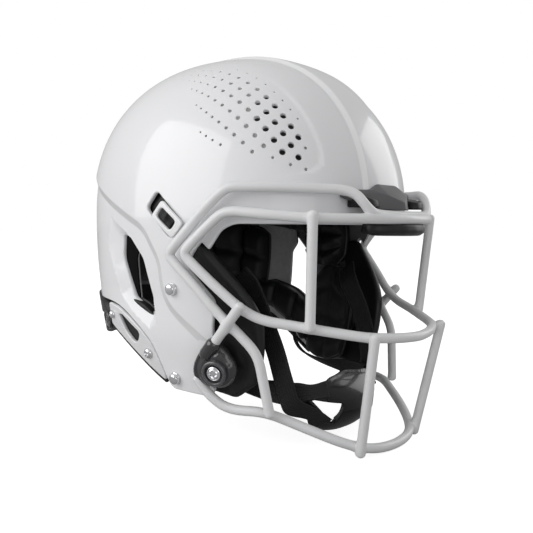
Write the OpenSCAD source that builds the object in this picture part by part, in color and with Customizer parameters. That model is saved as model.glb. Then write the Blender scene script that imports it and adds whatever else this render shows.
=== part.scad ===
// American football helmet with a wire face guard, chin strap and padding.
// Faces -Y, wearer's right is -X, stands on the lowest wires of the face guard.

/* [Shell] */
// Half of the shell's outside width at its widest level
half_w = 113.3; // [105:0.1:122]
// Reach of the shell forward of its widest station
front_len = 133.5; // [120:0.5:150]
// Reach of the shell behind its widest station
rear_len = 138; // [125:0.5:150]
// Rise of the crown above the widest level
crown_h = 127.4; // [115:0.1:140]
// Height of the widest level above the ground
wide_z = 174.4; // [160:0.1:190]
// Position of the widest station along Y
wide_y = 13.1; // [5:0.1:20]
// Thickness of the shell wall
shell_t = 3.6; // [3:0.1:5]
// How far the central crest stands proud
crest_h = 2.4; // [1:0.1:4]
// Half width of the central crest
crest_w = 20; // [15:0.5:28]
// Radius of the large ventilation holes
vent_r = 2.3; // [1.5:0.1:3]

/* [Face guard] */
// Radius of the coated wire
wire_r = 3.6; // [3:0.1:4.2]
// Sides of the swept wire section
wire_n = 12; // [8:1:16]
// Height of the centre of the lowest wire
low_wire_z = 3.6; // [3:0.1:6]
// How deep a weld sinks one wire into the next
weld = 0.9; // [0.4:0.1:1.5]

/* [Clips and screws] */
// Radius of the chrome strap studs
stud_r = 5; // [4:0.1:6]
// Height of the stud's straight side
stud_h = 2.6; // [2:0.1:4]
// Radius of the quarter-turn screw head
screw_r = 6.4; // [5:0.1:8]
// Running clearance round a turning screw
run_gap = 0.08; // [0.02:0.01:0.1]
// Clearance between touching soft parts
soft_gap = 0.4; // [0.2:0.1:1]

/* [Padding] */
// Space between the shell and the pads
pad_gap = 0.6; // [0.3:0.1:2]
// Thickness of the crown pads
crown_pad_t = 26; // [15:1:35]
// Thickness of the front pad
front_pad_t = 22; // [12:1:30]
// Thickness of the rear pad
rear_pad_t = 26; // [12:1:34]
// Thickness of the side pads
side_pad_t = 22; // [12:1:30]
// Thickness of the jaw pads
jaw_pad_t = 20; // [12:1:30]

/* [Chin strap] */
// Width of the webbing
strap_w = 19; // [15:1:25]
// Thickness of the webbing
strap_t = 2; // [1.2:0.1:3]
// Thickness of the chin cup wall
cup_t = 3; // [2:0.1:4]

/* [Hidden] */
EN = 2.348;
EM = 2.19;
LZ = wide_z - 12.6;
round_n = 24;
shift_y = 1.9;

// sets the middle of the whole helmet over the origin
module place() {
  translate([0, shift_y, 0]) children();
}

// ---- surface of the shell ------------------------------------------------

function low(z) = max(0, wide_z - z) / LZ;

function half_at(z, o) = half_w + o - 26 * pow(low(z), 2);

function rear_at(z, o) = rear_len + o - 34 * pow(low(z), 2.5);

function front_at(z, o) = front_len + o - 10 * pow(low(z), 2);

function reach_at(y, z, o) = y > wide_y ? rear_at(z, o) : front_at(z, o);

// distance from the mid plane of the surface o outside the shell, seen from the side
function side_x(y, z, o) =
  let(ly = abs(y - wide_y) / reach_at(y, z, o))
  let(lz = max(0, z - wide_z) / (crown_h + o))
  let(q = pow(pow(ly, EM) + pow(lz, EM), EN / EM))
  half_at(z, o) * pow(max(0.0001, 1 - q), 1 / EN);

// raised central crest
function crest(x) = crest_h * max(0, min(1, (crest_w + 4.5 - abs(x)) / 4.5));

// station i of n runs from the right pole to the left pole, k of m from brow to nape
function reach_r(x, o) = pow(max(0, 1 - pow(min(1, abs(x) / (half_w + o)), EN)), 1 / EN);

function arc_pt(x, a, o) =
  let(oo = o + crest(x))
  let(cy = cos(a) / ((a > 90 ? front_len : rear_len) + oo))
  let(cz = sin(a) / (crown_h + oo))
  let(r = reach_r(x, o) * pow(pow(abs(cy), EM) + pow(abs(cz), EM), -1 / EM))
  [x, wide_y + r * cos(a), wide_z + r * sin(a)];

function low_pt(p, z, o) =
  let(f = p[1] > wide_y ? rear_at(z, o) / (rear_len + o) : front_at(z, o) / (front_len + o))
  [p[0] * half_at(z, o) / (half_w + o), wide_y + (p[1] - wide_y) * f, z];

function stations(o) = let(s = [0, 12, crest_w, crest_w + 4.5, 36, 50, 64, 77, 88, 97, 104, 109])
  concat([for (i = [len(s) - 1:-1:1]) -s[i] * (half_w + o) / half_w], s * (half_w + o) / half_w);

module dome(o, low_zs) {
  st = stations(o);
  ns = len(st);
  na = 24;
  arcs = [for (i = [0:ns - 1]) for (k = [0:na]) arc_pt(st[i], 180 - 180 * k / na, o)];
  base = len(arcs);
  poles = [[-(half_w + o), wide_y, wide_z], [half_w + o, wide_y, wide_z]];
  ring0 = concat([for (i = [0:ns - 1]) i * (na + 1)], [base + 1],
    [for (i = [ns - 1:-1:0]) i * (na + 1) + na], [base]);
  nr = len(ring0);
  allp = concat(arcs, poles);
  lows = [for (z = low_zs) for (j = [0:nr - 1]) low_pt(allp[ring0[j]], z, o)];
  lb = len(allp);
  nl = len(low_zs);
  pts = concat(allp, lows);
  top_faces = [for (i = [0:ns - 2]) for (k = [0:na - 1])
    let(a = i * (na + 1) + k, b = (i + 1) * (na + 1) + k)
    for (t = [[a, a + 1, b + 1], [a, b + 1, b]]) t];
  cap_r = [for (k = [0:na - 1]) [k + 1, k, base]];
  cap_l = [for (k = [0:na - 1]) let(a = (ns - 1) * (na + 1) + k) [a, a + 1, base + 1]];
  side0 = [for (j = [0:nr - 1]) let(j2 = (j + 1) % nr)
    for (t = [[ring0[j], ring0[j2], lb + j2], [ring0[j], lb + j2, lb + j]]) t];
  sides = [for (l = [0:nl - 2]) for (j = [0:nr - 1])
    let(j2 = (j + 1) % nr, a = lb + l * nr, b = lb + (l + 1) * nr)
    for (t = [[a + j, a + j2, b + j2], [a + j, b + j2, b + j]]) t];
  bottom = [[for (j = [0:nr - 1]) lb + (nl - 1) * nr + j]];
  polyhedron(points = pts, faces = concat(top_faces, cap_r, cap_l, side0, sides, bottom));
}

// solid between two matching grids of points
module grid_solid(outer, inner) {
  nu = len(outer);
  nv = len(outer[0]);
  m = nu * nv;
  pts = concat([for (r = outer) for (p = r) p], [for (r = inner) for (p = r) p]);
  f_out = [for (i = [0:nu - 2]) for (j = [0:nv - 2]) let(a = i * nv + j)
    for (t = [[a, a + 1, a + nv + 1], [a, a + nv + 1, a + nv]]) t];
  f_in = [for (f = f_out) [f[2] + m, f[1] + m, f[0] + m]];
  rim = concat([for (j = [0:nv - 1]) j], [for (i = [1:nu - 1]) i * nv + nv - 1],
    [for (j = [nv - 2:-1:0]) (nu - 1) * nv + j], [for (i = [nu - 2:-1:1]) i * nv]);
  nr = len(rim);
  f_rim = [for (j = [0:nr - 1]) let(a = rim[j], b = rim[(j + 1) % nr])
    for (t = [[b, a, a + m], [b, a + m, b + m]]) t];
  polyhedron(points = pts, faces = concat(f_out, f_in, f_rim));
}

// grid over the side of the shell: rows of [y, z]
function side_grid(rows, o) = [for (r = rows) [for (q = r) [side_x(q[0], q[1], o), q[0], q[1]]]];

// rows between a lower and an upper edge line, n steps across
function span(lo, hi, n) = [for (i = [0:n]) [for (j = [0:len(lo) - 1])
  lo[j] + (hi[j] - lo[j]) * i / n]];

// plate following the left side of the shell between two edge lines
module side_plate(lo, hi, n, o1, o2) {
  rows = span(lo, hi, n);
  grid_solid(side_grid(rows, o1), side_grid(rows, o2));
}

// plate following the dome at stations x and arc angles a
module dome_plate(xs, as, o1, o2) {
  grid_solid([for (x = xs) [for (a = as) arc_pt(x, a, o2)]],
    [for (x = xs) [for (a = as) arc_pt(x, a, o1)]]);
}

// ---- swept wire ----------------------------------------------------------

function unit(v) = v / norm(v);

function corner(a, b, c, d) =
  let(u = a - b, w = c - b)
  let(p = b + unit(u) * min(d, norm(u) * 0.45), q = b + unit(w) * min(d, norm(w) * 0.45))
  norm(cross(unit(u), unit(w))) < 0.2 ? [b]
    : [p, p * 0.36 + b * 0.48 + q * 0.16, p * 0.16 + b * 0.48 + q * 0.36, q];

function soften(p, d) = concat([p[0]],
  [for (i = [1:len(p) - 2]) for (q = corner(p[i - 1], p[i], p[i + 1], d)) q], [p[len(p) - 1]]);

function tangent(p, i) = i == 0 ? unit(p[1] - p[0])
  : i == len(p) - 1 ? unit(p[i] - p[i - 1])
  : unit(unit(p[i] - p[i - 1]) + unit(p[i + 1] - p[i]));

// ring of n points round p, starting from the side that faces away from the hub
function ring(p, t, hub, r) = let(v = p - hub) let(u = unit(v - (v * t) * t)) let(w = cross(t, u))
  [for (k = [0:wire_n - 1]) let(a = 360 * k / wire_n) p + r * (cos(a) * u + sin(a) * w)];

function skin(a, b) = [for (k = [0:wire_n - 1]) let(k2 = (k + 1) % wire_n)
  for (t = [[a + k, b + k, b + k2], [a + k, b + k2, a + k2]]) t];

module wire(path, d, r, hub) {
  p = soften(path, d);
  n = len(p);
  rings = [for (i = [0:n - 1]) for (q = ring(p[i], tangent(p, i), hub, r)) q];
  tip0 = p[0] - tangent(p, 0) * r * 0.7;
  tip1 = p[n - 1] + tangent(p, n - 1) * r * 0.7;
  m = n * wire_n;
  f = [for (i = [0:n - 2]) for (t = skin(i * wire_n, (i + 1) * wire_n)) t];
  e0 = [for (k = [0:wire_n - 1]) [k, (k + 1) % wire_n, m]];
  e1 = [for (k = [0:wire_n - 1]) [m - wire_n + (k + 1) % wire_n, m - wire_n + k, m + 1]];
  polyhedron(points = concat(rings, [tip0, tip1]), faces = concat(f, e0, e1));
}

// closed loop of wire through a left half path that starts and ends on the mid plane
module wire_loop(half, d, r, hub) {
  full = concat(half, [for (i = [len(half) - 2:-1:1]) flip_x(half[i])]);
  k = len(full);
  p = [for (i = [0:k - 1]) for (q = corner(full[(i + k - 1) % k], full[i], full[(i + 1) % k], d)) q];
  n = len(p);
  rings = [for (i = [0:n - 1])
    for (q = ring(p[i], unit(p[(i + 1) % n] - p[(i + n - 1) % n]), hub, r)) q];
  polyhedron(points = rings,
    faces = [for (i = [0:n - 1]) for (t = skin(i * wire_n, ((i + 1) % n) * wire_n)) t]);
}

function flip_x(p) = [-p[0], p[1], p[2]];

function mirror_path(half) = concat([for (i = [len(half) - 1:-1:1]) flip_x(half[i])], half);

// straight wire with rounded ends
module straight_wire(a, b) {
  d = b - a;
  l = norm(d);
  translate(a) rotate([0, acos(d[2] / l), atan2(d[1], d[0])])
    rotate_extrude($fn = round_n) {
      intersection() {
        union() {
          square([wire_r, l]);
          circle(r = wire_r, $fn = round_n);
          translate([0, l]) circle(r = wire_r, $fn = round_n);
        }
        translate([0, -wire_r]) square([wire_r, l + 2 * wire_r]);
      }
    }
}

// outward frame on the left side of the shell at y, z
function side_n(y, z, o) =
  let(dy = (side_x(y + 1, z, o) - side_x(y - 1, z, o)) / 2)
  let(dz = (side_x(y, z + 1, o) - side_x(y, z - 1, o)) / 2)
  unit([1, -dy, -dz]);

module on_side(y, z, o) {
  n = side_n(y, z, 0);
  translate([side_x(y, z, 0), y, z] + n * o)
    rotate([0, acos(n[2]), atan2(n[1], n[0])]) children();
}

module both(s) {
  if (s > 0) children();
  else mirror([1, 0, 0]) children();
}

// ---- paths of the wires (left half, from the middle outward) ----------------

outer_path = [[0, -139.8, 174.4], [22, -138.8, 174.4], [36, -136.6, 175], [41.5, -135.4, 177.4],
  [46.5, -132.5, 182.9], [49.5, -128.8, 188.6], [54.5, -122.5, 191.4], [64, -114, 191.8],
  [78.6, -102, 192], [93, -86.6, 192.4],
  [103.8, -69, 192.3], [108.6, -59.5, 191.4], [114, -45.5, 177], [118.6, -22, 151.5],
  [119.2, -15, 143.5], [118, -20.5, 137.5], [113.6, -36.4, 122.4], [107.6, -50.6, 105.6],
  [99, -66.6, 88.9], [93, -78.8, 75.5], [86.2, -84.8, 33.2]];

eye_path = [[0, -146.5, 172], [28, -142, 172], [57, -129.5, 171.8], [83.5, -112.5, 171.6],
  [98.5, -88, 173.5], [109, -60, 175.8], [113, -49.3, 166], [118.4, -33, 149.5],
  [118.8, -30, 144], [114.6, -41.5, 133.2], [108.6, -55.6, 120], [101.6, -68.4, 108],
  [95, -82, 100.4], [79.4, -104.6, 96.4], [57.8, -131, 91.4], [47.8, -141, 89.5],
  [24.5, -150.5, 87.8], [0, -154.5, 87]];

bottom_path = [[0, -137.5, low_wire_z], [20, -136, low_wire_z + 1], [36, -130.5, low_wire_z + 3.4],
  [50, -119.5, low_wire_z + 9], [62.7, -104.5, low_wire_z + 16.8], [81.6, -78, low_wire_z + 29],
  [92, -51, 31.6], [98.5, -38, 41], [102.6, -30, 53]];

outer_hub = [0, -30, 130];

upper_a = [84.8, -117.2, 173.6];
upper_b = [78.6, -112.6, 96.6];
lower_a = [49.8, -147, 90.6];
lower_b = [40, -131.8, 4.4];
stub_a = [104.8, -42, 74];
stub_b = [107.8, -74, 110];

// ---- nodes -----------------------------------------------------------------

vent_line = [[45.2, 156.7], [31.7, 147.7], [23.2, 129.7], [14, 106], [16.4, 93.3], [35, 105.5],
  [49, 138.8]];

face_line = [[-260, 169], [-61, 166.5], [-52, 162], [-40, 148], [-31.5, 136], [-31, 130.5],
  [-45, 116], [-47.5, 109], [-44, 98], [-42.5, 60], [-38, 44], [-26, 30], [-26, -60], [-260, -60]];

edge_line = [[-26, 37.6], [4.8, 38.6], [9, 47.9], [13.5, 60.4], [20, 73.6], [30, 82.6],
  [45, 92.2], [60, 98.6], [76, 100.8], [260, 102], [260, -60], [-26, -60]];

slot_line = [[4.6, 189.5], [15.6, 176.8], [-1.5, 160.5], [-12.5, 173]];

// lattice of ventilation holes: i steps down the brow, j steps towards the crest
function hole_x(i, j) = 82.3 - 5.9 * j - 0.35 * j * j - 1.1 * i;

function hole_a(i, j) = 139.5 + 5.2 * i - 1.4 * j;

wall_levels = [160, 145, 128, 108, 88, 66, 44, 20];

module side_cut(line) {
  rotate([90, 0, 90]) translate([0, 0, 75]) linear_extrude(height = 60) polygon(line);
}

module cross_cut(line) {
  rotate([90, 0, 90]) translate([0, 0, -150]) linear_extrude(height = 300) polygon(line);
}

module hole_cut(x, a) {
  n = unit(cross(arc_pt(x + 1, a, 0) - arc_pt(x - 1, a, 0), arc_pt(x, a - 1, 0) - arc_pt(x, a + 1, 0)));
  m = n[2] > 0 ? n : -n;
  translate(arc_pt(x, a, 0) - 12 * m) rotate([0, acos(m[2]), atan2(m[1], m[0])])
    cylinder(r = vent_r, h = 20, $fn = 20);
}

module shell() {
  color([0.93, 0.93, 0.94]) place()
    difference() {
      dome(0, wall_levels);
      dome(-shell_t, concat(wall_levels, [6]));
      cross_cut(face_line);
      cross_cut(edge_line);
      for (s = [-1, 1]) {
        both(s) side_cut(vent_line);
        both(s) side_cut(slot_line);
        for (i = [-1:4])
          for (j = [0:2])
            if (j > 0 || (i > -1 && i < 4)) both(s) hole_cut(hole_x(i, j), hole_a(i, j));
      }
    }
}

// y of the front of the dome at x, z, o outside the shell
function front_y(x, z, o) =
  let(across = pow(1 - pow(abs(x) / (half_w + o), EN), EM / EN))
  let(up = pow(max(0, z - wide_z) / (crown_h + o), EM))
  wide_y - (front_len + o) * pow(max(0.0001, across - up), 1 / EM);

bumper_gap = 0.9;

// dark bumper over the middle of the brow: a pointed block with a wing on each side
// each station: x, then z and reach outside the shell at the back edge, the crease and the foot
bumper_stations = [[0, 197.3, 0.3, 184.3, 15.6, 178.6, 16.4], [13, 197.4, 0.6, 188.9, 9.8, 178.6, 11],
  [21, 193.2, 3.2, 191.2, 5.4, 178.8, 8.2], [27, 192.8, 3, 189.6, 4.6, 181.6, 5.4],
  [38, 192.6, 2.8, 189.6, 3.8, 183.6, 3.8], [47, 192.4, 2, 190, 2.4, 186.6, 2.4]];

module nose_bumper() {
  half = bumper_stations;
  sts = concat([for (i = [len(half) - 1:-1:1]) [-half[i][0], half[i]]], [for (h = half) [h[0], h]]);
  color([0.2, 0.2, 0.21]) place()
    grid_solid([for (s = sts) [for (k = [1, 3, 5]) let(z = s[1][k])
      [s[0], front_y(s[0], z, crest(s[0])) - bumper_gap, z]]],
      [for (s = sts) [for (k = [1, 3, 5]) let(z = s[1][k])
      [s[0], front_y(s[0], z, crest(s[0])) - bumper_gap - 1 - s[1][k + 1], z]]]);
}

// dark lip under the brow wire, with a tongue that reaches back below the shell's edge
module brow_lip() {
  xs = [-36, -30, -18, 0, 18, 30, 36];
  color([0.12, 0.12, 0.13]) place() {
    grid_solid([for (x = xs) let(f = 0.0105 * x * x, e = abs(x) > 33 ? 1 : 0)
      [[x, f - 138, 168 - e], [x, f - 137, 165 - e], [x, f - 137, 161 + e]]],
      [for (x = xs) let(f = 0.0105 * x * x, e = abs(x) > 33 ? 2.5 : 0)
      [[x, f - 150 + e, 165.4], [x, f - 150 + e, 162.8], [x, f - 145.5, 159.6 + e]]]);
    translate([-9, -141, 160.8]) cube([18, 26, 3.6]);
  }
}

module outer_bar() {
  color([0.86, 0.86, 0.87]) place() wire(mirror_path(outer_path), 8, wire_r, outer_hub);
}

module eye_bar() {
  color([0.86, 0.86, 0.87]) place() wire_loop(eye_path, 8, wire_r, [0, -60, 130]);
}

module bottom_bar() {
  color([0.86, 0.86, 0.87]) place() wire(mirror_path(bottom_path), 10, wire_r, [0, -40, 60]);
}

module upper_post(s) {
  color([0.86, 0.86, 0.87]) place() both(s) straight_wire(upper_a, upper_b);
}

module lower_post(s) {
  color([0.86, 0.86, 0.87]) place() both(s) straight_wire(lower_a, lower_b);
}

module stub_bar(s) {
  color([0.86, 0.86, 0.87]) place() both(s) straight_wire(stub_a, stub_b);
}

clip_y = -45;
clip_z = 62;
clip_t = 9;

module side_clip(s) {
  color([0.13, 0.13, 0.14]) place()
    both(s) on_side(clip_y, clip_z, 0.9)
      difference() {
        union() {
          linear_extrude(height = clip_t)
            polygon([[0, 20], [-8, 17], [-21, 8], [-23, 2], [-19, -6], [-6, -15], [4, -15],
              [11, -9], [14, 0], [12, 13], [7, 19]]);
          translate([0, 0, clip_t - 0.01]) cylinder(r = 10.5, h = 1.6, $fn = 36);
        }
        translate([0, 0, -1]) cylinder(r = 2.5 + run_gap, h = 30, $fn = 24);
      }
}

module side_washer(s) {
  color([0.3, 0.3, 0.31]) place()
    both(s) on_side(clip_y, clip_z, 0.9 + clip_t + 1.6)
      difference() {
        cylinder(r = 9.6, h = 2.2, $fn = 36);
        translate([0, 0, -1]) cylinder(r = screw_r + run_gap, h = 5, $fn = 36);
      }
}

module side_screw(s) {
  color([0.8, 0.8, 0.82]) place()
    both(s) on_side(clip_y, clip_z, 0.9 + clip_t + 1.6)
      difference() {
        union() {
          translate([0, 0, 0.05]) rotate_extrude($fn = 36)
            polygon([[0, 0], [screw_r, 0], [screw_r, 1.6], [5, 3], [2.6, 3.7], [0, 3.9]]);
          translate([0, 0, -8]) cylinder(r = 2.5, h = 8.2, $fn = 24);
        }
        for (t = [0, 90])
          rotate([0, 0, t]) translate([-3.2, -0.6, 2.2]) cube([6.4, 1.2, 4]);
      }
}

module stud(r, h, rise) {
  rotate_extrude($fn = 24)
    polygon(concat([[0, 0]], [[r, 0]], [for (a = [0:30:60]) [r * cos(a), h + rise * sin(a)]],
      [[0, h + rise]]));
}

module snap_upper(s) {
  color([0.82, 0.82, 0.84]) place() both(s) on_side(-9, 117.5, 0) stud(stud_r, stud_h, 2);
}

module snap_lower(s) {
  color([0.82, 0.82, 0.84]) place() both(s) on_side(-1.7, 48.2, 0) stud(stud_r, stud_h, 2);
}

module strip_screw(s) {
  color([0.82, 0.82, 0.84]) place() both(s) on_side(25, 64.4, 0) stud(4.2, 1.2, 1.6);
}

module rear_screw(s) {
  color([0.82, 0.82, 0.84]) place() both(s) on_side(70, 90.5, 0) stud(3.4, 1.2, 1.6);
}

// frame that slides along the temple slot
module temple_clip(s) {
  color([0.95, 0.95, 0.95]) place()
    both(s) difference() {
      side_plate([[-23.6, 166.4], [-19.5, 161], [-13.6, 154.4]], [[-3.4, 183.2], [2, 177],
        [7.6, 170.8]], 5, 0.7, 3.2);
      side_cut([[-18.2, 167.3], [-3.2, 178.9], [3.4, 171], [-11.6, 159.4]]);
    }
}

strip_hi = [[9.6, 47.5], [14.1, 60], [20.6, 73], [30.4, 82], [45.2, 91.5], [60.2, 98],
  [76, 100.1]];
strip_lo = [[10.4, 44.2], [17, 48], [26, 53.5], [36, 60], [48, 67.5], [60, 74.5], [75, 82]];

// pale strip under the lower rear edge, with a dark window
module neck_strip(s) {
  color([0.8, 0.8, 0.81]) place()
    both(s) difference() {
      side_plate(strip_lo, strip_hi, 4, -3.4, -0.1);
      side_cut([[33.5, 79.6], [36.5, 72.6], [42, 71], [52, 78.8], [60.5, 91.6], [55, 92.2]]);
    }
}

function back_y(x, z, o) = wide_y + rear_at(z, o) * pow(max(0, 1 - pow(abs(x) / half_at(z, o), EN)),
  1 / EN);

module back_plate(xs, zs, o1, o2) {
  grid_solid([for (x = xs) [for (z = zs) [x, back_y(x, z, o1), z]]],
    [for (x = xs) [for (z = zs) [x, back_y(x, z, o2), z]]]);
}

module rear_plate() {
  color([0.12, 0.12, 0.13]) place()
    back_plate([-86, -80, -70, -55, -37, -18, 0, 18, 37, 55, 70, 80, 86], [66, 72, 82, 91, 97],
      0.6, 4.6);
}

pad_o = -(shell_t + pad_gap);
side_pad_o = pad_o - 3;

module crown_pad(s) {
  color([0.09, 0.09, 0.1]) place()
    both(s) dome_plate([3, 14, 26, 38, 50, 60], [132, 118, 104, 90, 76, 64, 52],
      pad_o - crown_pad_t, pad_o);
}

module front_pad() {
  color([0.09, 0.09, 0.1]) place()
    dome_plate([-58, -48, -36, -24, -12, 0, 12, 24, 36, 48, 58], [172, 166, 158, 150, 142, 136],
      pad_o - front_pad_t, pad_o - crest_h);
}

module rear_pad() {
  color([0.09, 0.09, 0.1]) place()
    dome_plate([-56, -44, -30, -15, 0, 15, 30, 44, 56], [46, 38, 30, 22, 14, 6],
      pad_o - rear_pad_t, pad_o - crest_h);
}

module nape_pad() {
  color([0.09, 0.09, 0.1]) place()
    back_plate([-60, -48, -32, -16, 0, 16, 32, 48, 60], [110, 122, 136, 150, 164],
      pad_o - 22, pad_o - crest_h);
}

module side_pad(s) {
  color([0.09, 0.09, 0.1]) place()
    both(s) side_plate([[-26, 168], [-8, 160], [12, 158], [34, 160], [56, 166]],
      [[-20, 204], [-4, 214], [16, 219], [38, 216], [56, 206]], 4,
      side_pad_o - side_pad_t, side_pad_o);
}

module ear_pad(s) {
  color([0.09, 0.09, 0.1]) place()
    both(s) side_plate([[52, 108], [66, 112], [80, 118]], [[52, 154], [66, 160], [80, 162]], 4,
      side_pad_o - side_pad_t, side_pad_o);
}

module jaw_pad(s) {
  color([0.09, 0.09, 0.1]) place()
    both(s) side_plate([[-38, 46], [-24, 42], [-8, 42], [6, 46]], [[-40, 112], [-24, 128],
      [-8, 130], [6, 118]], 5, side_pad_o - jaw_pad_t, side_pad_o);
}

// dark bumper in front of the shell's jaw edge
module jaw_band(s) {
  color([0.1, 0.1, 0.11]) place()
    both(s) side_plate([[-41, 43], [-45.5, 58], [-46, 75], [-47, 97], [-51, 108], [-48.5, 117.5],
      [-36, 132.5]], [[-60, 38], [-70, 52], [-76, 75], [-77, 97], [-72, 110], [-62, 124],
      [-48, 138]], 3, -9.5, -1.2);
}

// ---- chin strap --------------------------------------------------------------

// bowl of the chin cup: a across from -75 to 75, b from the lower to the upper edge
function cup_pt(a, b, o) = [(50 + o) * sin(a), -70 - (38 + o) * cos(a) * cos(b),
  30 + 10 * pow(sin(a), 2) + (27 + o) * sin(b)];

function cup_top(a) = lookup(abs(a), [[0, 62], [30, 46], [53, 20], [75, 22]]);

function cup_bottom(a) = lookup(abs(a), [[0, -62], [40, -60], [53, -50], [64, -26], [75, -14]]);

cup_as = [-75, -69, -62, -53, -42, -30, -15, 0, 15, 30, 42, 53, 62, 69, 75];
cup_n = 6;

function cup_row(a, o, f) = let(mid = (cup_top(a) + cup_bottom(a)) / 2)
  let(span = (cup_top(a) - cup_bottom(a)) / 2 * f)
  [for (k = [0:cup_n]) cup_pt(a, mid + span * (2 * k / cup_n - 1), o)];

// corners of the three-sided opening on each side of the cup
cup_hole = [[-60, -2], [-24, 1], [-28, -40]];

module chin_cup() {
  color([0.05, 0.05, 0.06]) place()
    difference() {
      grid_solid([for (a = cup_as) cup_row(a, 0, 1)], [for (a = cup_as) cup_row(a, -cup_t, 1)]);
      for (s = [-1, 1])
        both(s) polyhedron(points = concat([for (h = cup_hole) cup_pt(-h[0], h[1], -9)],
          [for (h = cup_hole) cup_pt(-h[0], h[1], 5)]),
          faces = [[0, 1, 2], [5, 4, 3], [0, 3, 4, 1], [1, 4, 5, 2], [2, 5, 3, 0]]);
    }
}

// lining of the front of the cup
module chin_pad() {
  as = [-21, -14, -7, 0, 7, 14, 21];
  color([0.12, 0.12, 0.13]) place()
    grid_solid([for (a = as) cup_row(a, -cup_t - 1, 0.85)],
      [for (a = as) cup_row(a, -cup_t - 7, 0.85)]);
}

// webbing between two edge lines
module webbing(e0, e1) {
  n = len(e0);
  c = [for (i = [0:n - 1]) let(t = unit(e1[i] - e0[i]), d = unit((i < n - 1 ? e0[i + 1] : e0[i])
    - (i > 0 ? e0[i - 1] : e0[i]))) unit(cross(t, d)) * strap_t / 2];
  grid_solid([for (i = [0:n - 1]) [e0[i] - c[i], e1[i] - c[i]]],
    [for (i = [0:n - 1]) [e0[i] + c[i], e1[i] + c[i]]]);
}

// from the end of the cup up behind the jaw band
module strap_high(s) {
  color([0.07, 0.07, 0.08]) place()
    both(s) webbing([[57.5, -71, 35], [61, -68, 50], [63, -63.5, 68], [65.5, -55, 90], [65.5, -46, 106],
      [64.5, -38, 118]],
      [[57.5, -86, 47], [61, -83.5, 60], [63, -79, 77], [65.5, -70, 98], [65.5, -61, 115],
      [64.5, -53, 130]]);
}

// from the end of the cup back under the jaw pad, where it turns flat
module strap_low(s) {
  color([0.07, 0.07, 0.08]) place()
    both(s) webbing([[50.4, -79, 31.5], [53.4, -74, 31.5], [58, -63, 33], [62.5, -47, 36.5],
      [63.5, -27, 40.5], [63, -6, 45.5]],
      [[50.2, -79, 49], [53, -74, 49.5], [56.6, -63, 49.5], [58, -47, 48],
      [55, -27, 46], [53, -6, 48.5]]);
}

shell();
nose_bumper();
brow_lip();
outer_bar();
eye_bar();
bottom_bar();
upper_post(1);  // upper_post_l
upper_post(-1);  // upper_post_r
lower_post(1);  // lower_post_l
lower_post(-1);  // lower_post_r
stub_bar(1);  // stub_bar_l
stub_bar(-1);  // stub_bar_r
side_clip(1);  // side_clip_l
side_clip(-1);  // side_clip_r
side_washer(1);  // side_washer_l
side_washer(-1);  // side_washer_r
side_screw(1);  // side_screw_l
side_screw(-1);  // side_screw_r
temple_clip(1);  // temple_clip_l
temple_clip(-1);  // temple_clip_r
snap_upper(1);  // snap_upper_l
snap_upper(-1);  // snap_upper_r
snap_lower(1);  // snap_lower_l
snap_lower(-1);  // snap_lower_r
strip_screw(1);  // strip_screw_l
strip_screw(-1);  // strip_screw_r
rear_screw(1);  // rear_screw_l
rear_screw(-1);  // rear_screw_r
neck_strip(1);  // neck_strip_l
neck_strip(-1);  // neck_strip_r
rear_plate();
crown_pad(1);  // crown_pad_l
crown_pad(-1);  // crown_pad_r
front_pad();
rear_pad();
nape_pad();
side_pad(1);  // side_pad_l
side_pad(-1);  // side_pad_r
ear_pad(1);  // ear_pad_l
ear_pad(-1);  // ear_pad_r
jaw_pad(1);  // jaw_pad_l
jaw_pad(-1);  // jaw_pad_r
jaw_band(1);  // jaw_band_l
jaw_band(-1);  // jaw_band_r
chin_cup();
chin_pad();
strap_high(1);  // strap_high_l
strap_high(-1);  // strap_high_r
strap_low(1);  // strap_low_l
strap_low(-1);  // strap_low_r
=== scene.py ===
import math

import bpy
import numpy as np
from mathutils import Matrix, Vector


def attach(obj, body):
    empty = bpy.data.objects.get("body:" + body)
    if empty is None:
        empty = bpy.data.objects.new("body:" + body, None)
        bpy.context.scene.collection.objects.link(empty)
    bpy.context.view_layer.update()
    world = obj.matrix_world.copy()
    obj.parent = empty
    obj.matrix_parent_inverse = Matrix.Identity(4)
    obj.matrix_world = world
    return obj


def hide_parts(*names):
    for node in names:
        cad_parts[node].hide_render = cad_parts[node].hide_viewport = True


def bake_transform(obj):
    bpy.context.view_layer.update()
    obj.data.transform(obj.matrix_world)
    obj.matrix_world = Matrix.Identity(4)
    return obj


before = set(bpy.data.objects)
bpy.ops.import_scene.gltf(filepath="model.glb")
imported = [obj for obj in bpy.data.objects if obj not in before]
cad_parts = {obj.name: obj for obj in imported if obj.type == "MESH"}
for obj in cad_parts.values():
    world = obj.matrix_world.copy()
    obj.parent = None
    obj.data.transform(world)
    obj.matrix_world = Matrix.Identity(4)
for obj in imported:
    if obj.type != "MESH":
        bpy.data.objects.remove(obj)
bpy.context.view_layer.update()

# ---- dimensions, in millimetres, in the helmet's own drawing frame ----
MM = 0.001
SHIFT_Y = 1.9          # from the drawing frame to the middle of the whole helmet
HALF_W = 113.3         # shell half width at its widest level
FRONT_LEN = 133.5      # shell reach in front of its widest station
REAR_LEN = 138.0
CROWN_H = 127.4
WIDE_Z = 174.4
WIDE_Y = 13.1
SHELL_T = 3.6
LOW_SPAN = WIDE_Z - 12.6
SIDE_TUCK, REAR_TUCK, FRONT_TUCK = 26, 34, 10          # how far the shell draws in towards its lower edge
EN, EM = 2.348, 2.19   # roundness across and along the shell
CREST_H, CREST_W, CREST_SLOPE, CREST_END = 2.4, 20.0, 4.5, 60
WIRE_R = 3.6
LIP, INNER_LIP = 1.5, 1.1


# ---- small numeric helpers ----
def smooth(t):
    t = np.clip(t, 0, 1)
    return t * t * (3 - 2 * t)


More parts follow.
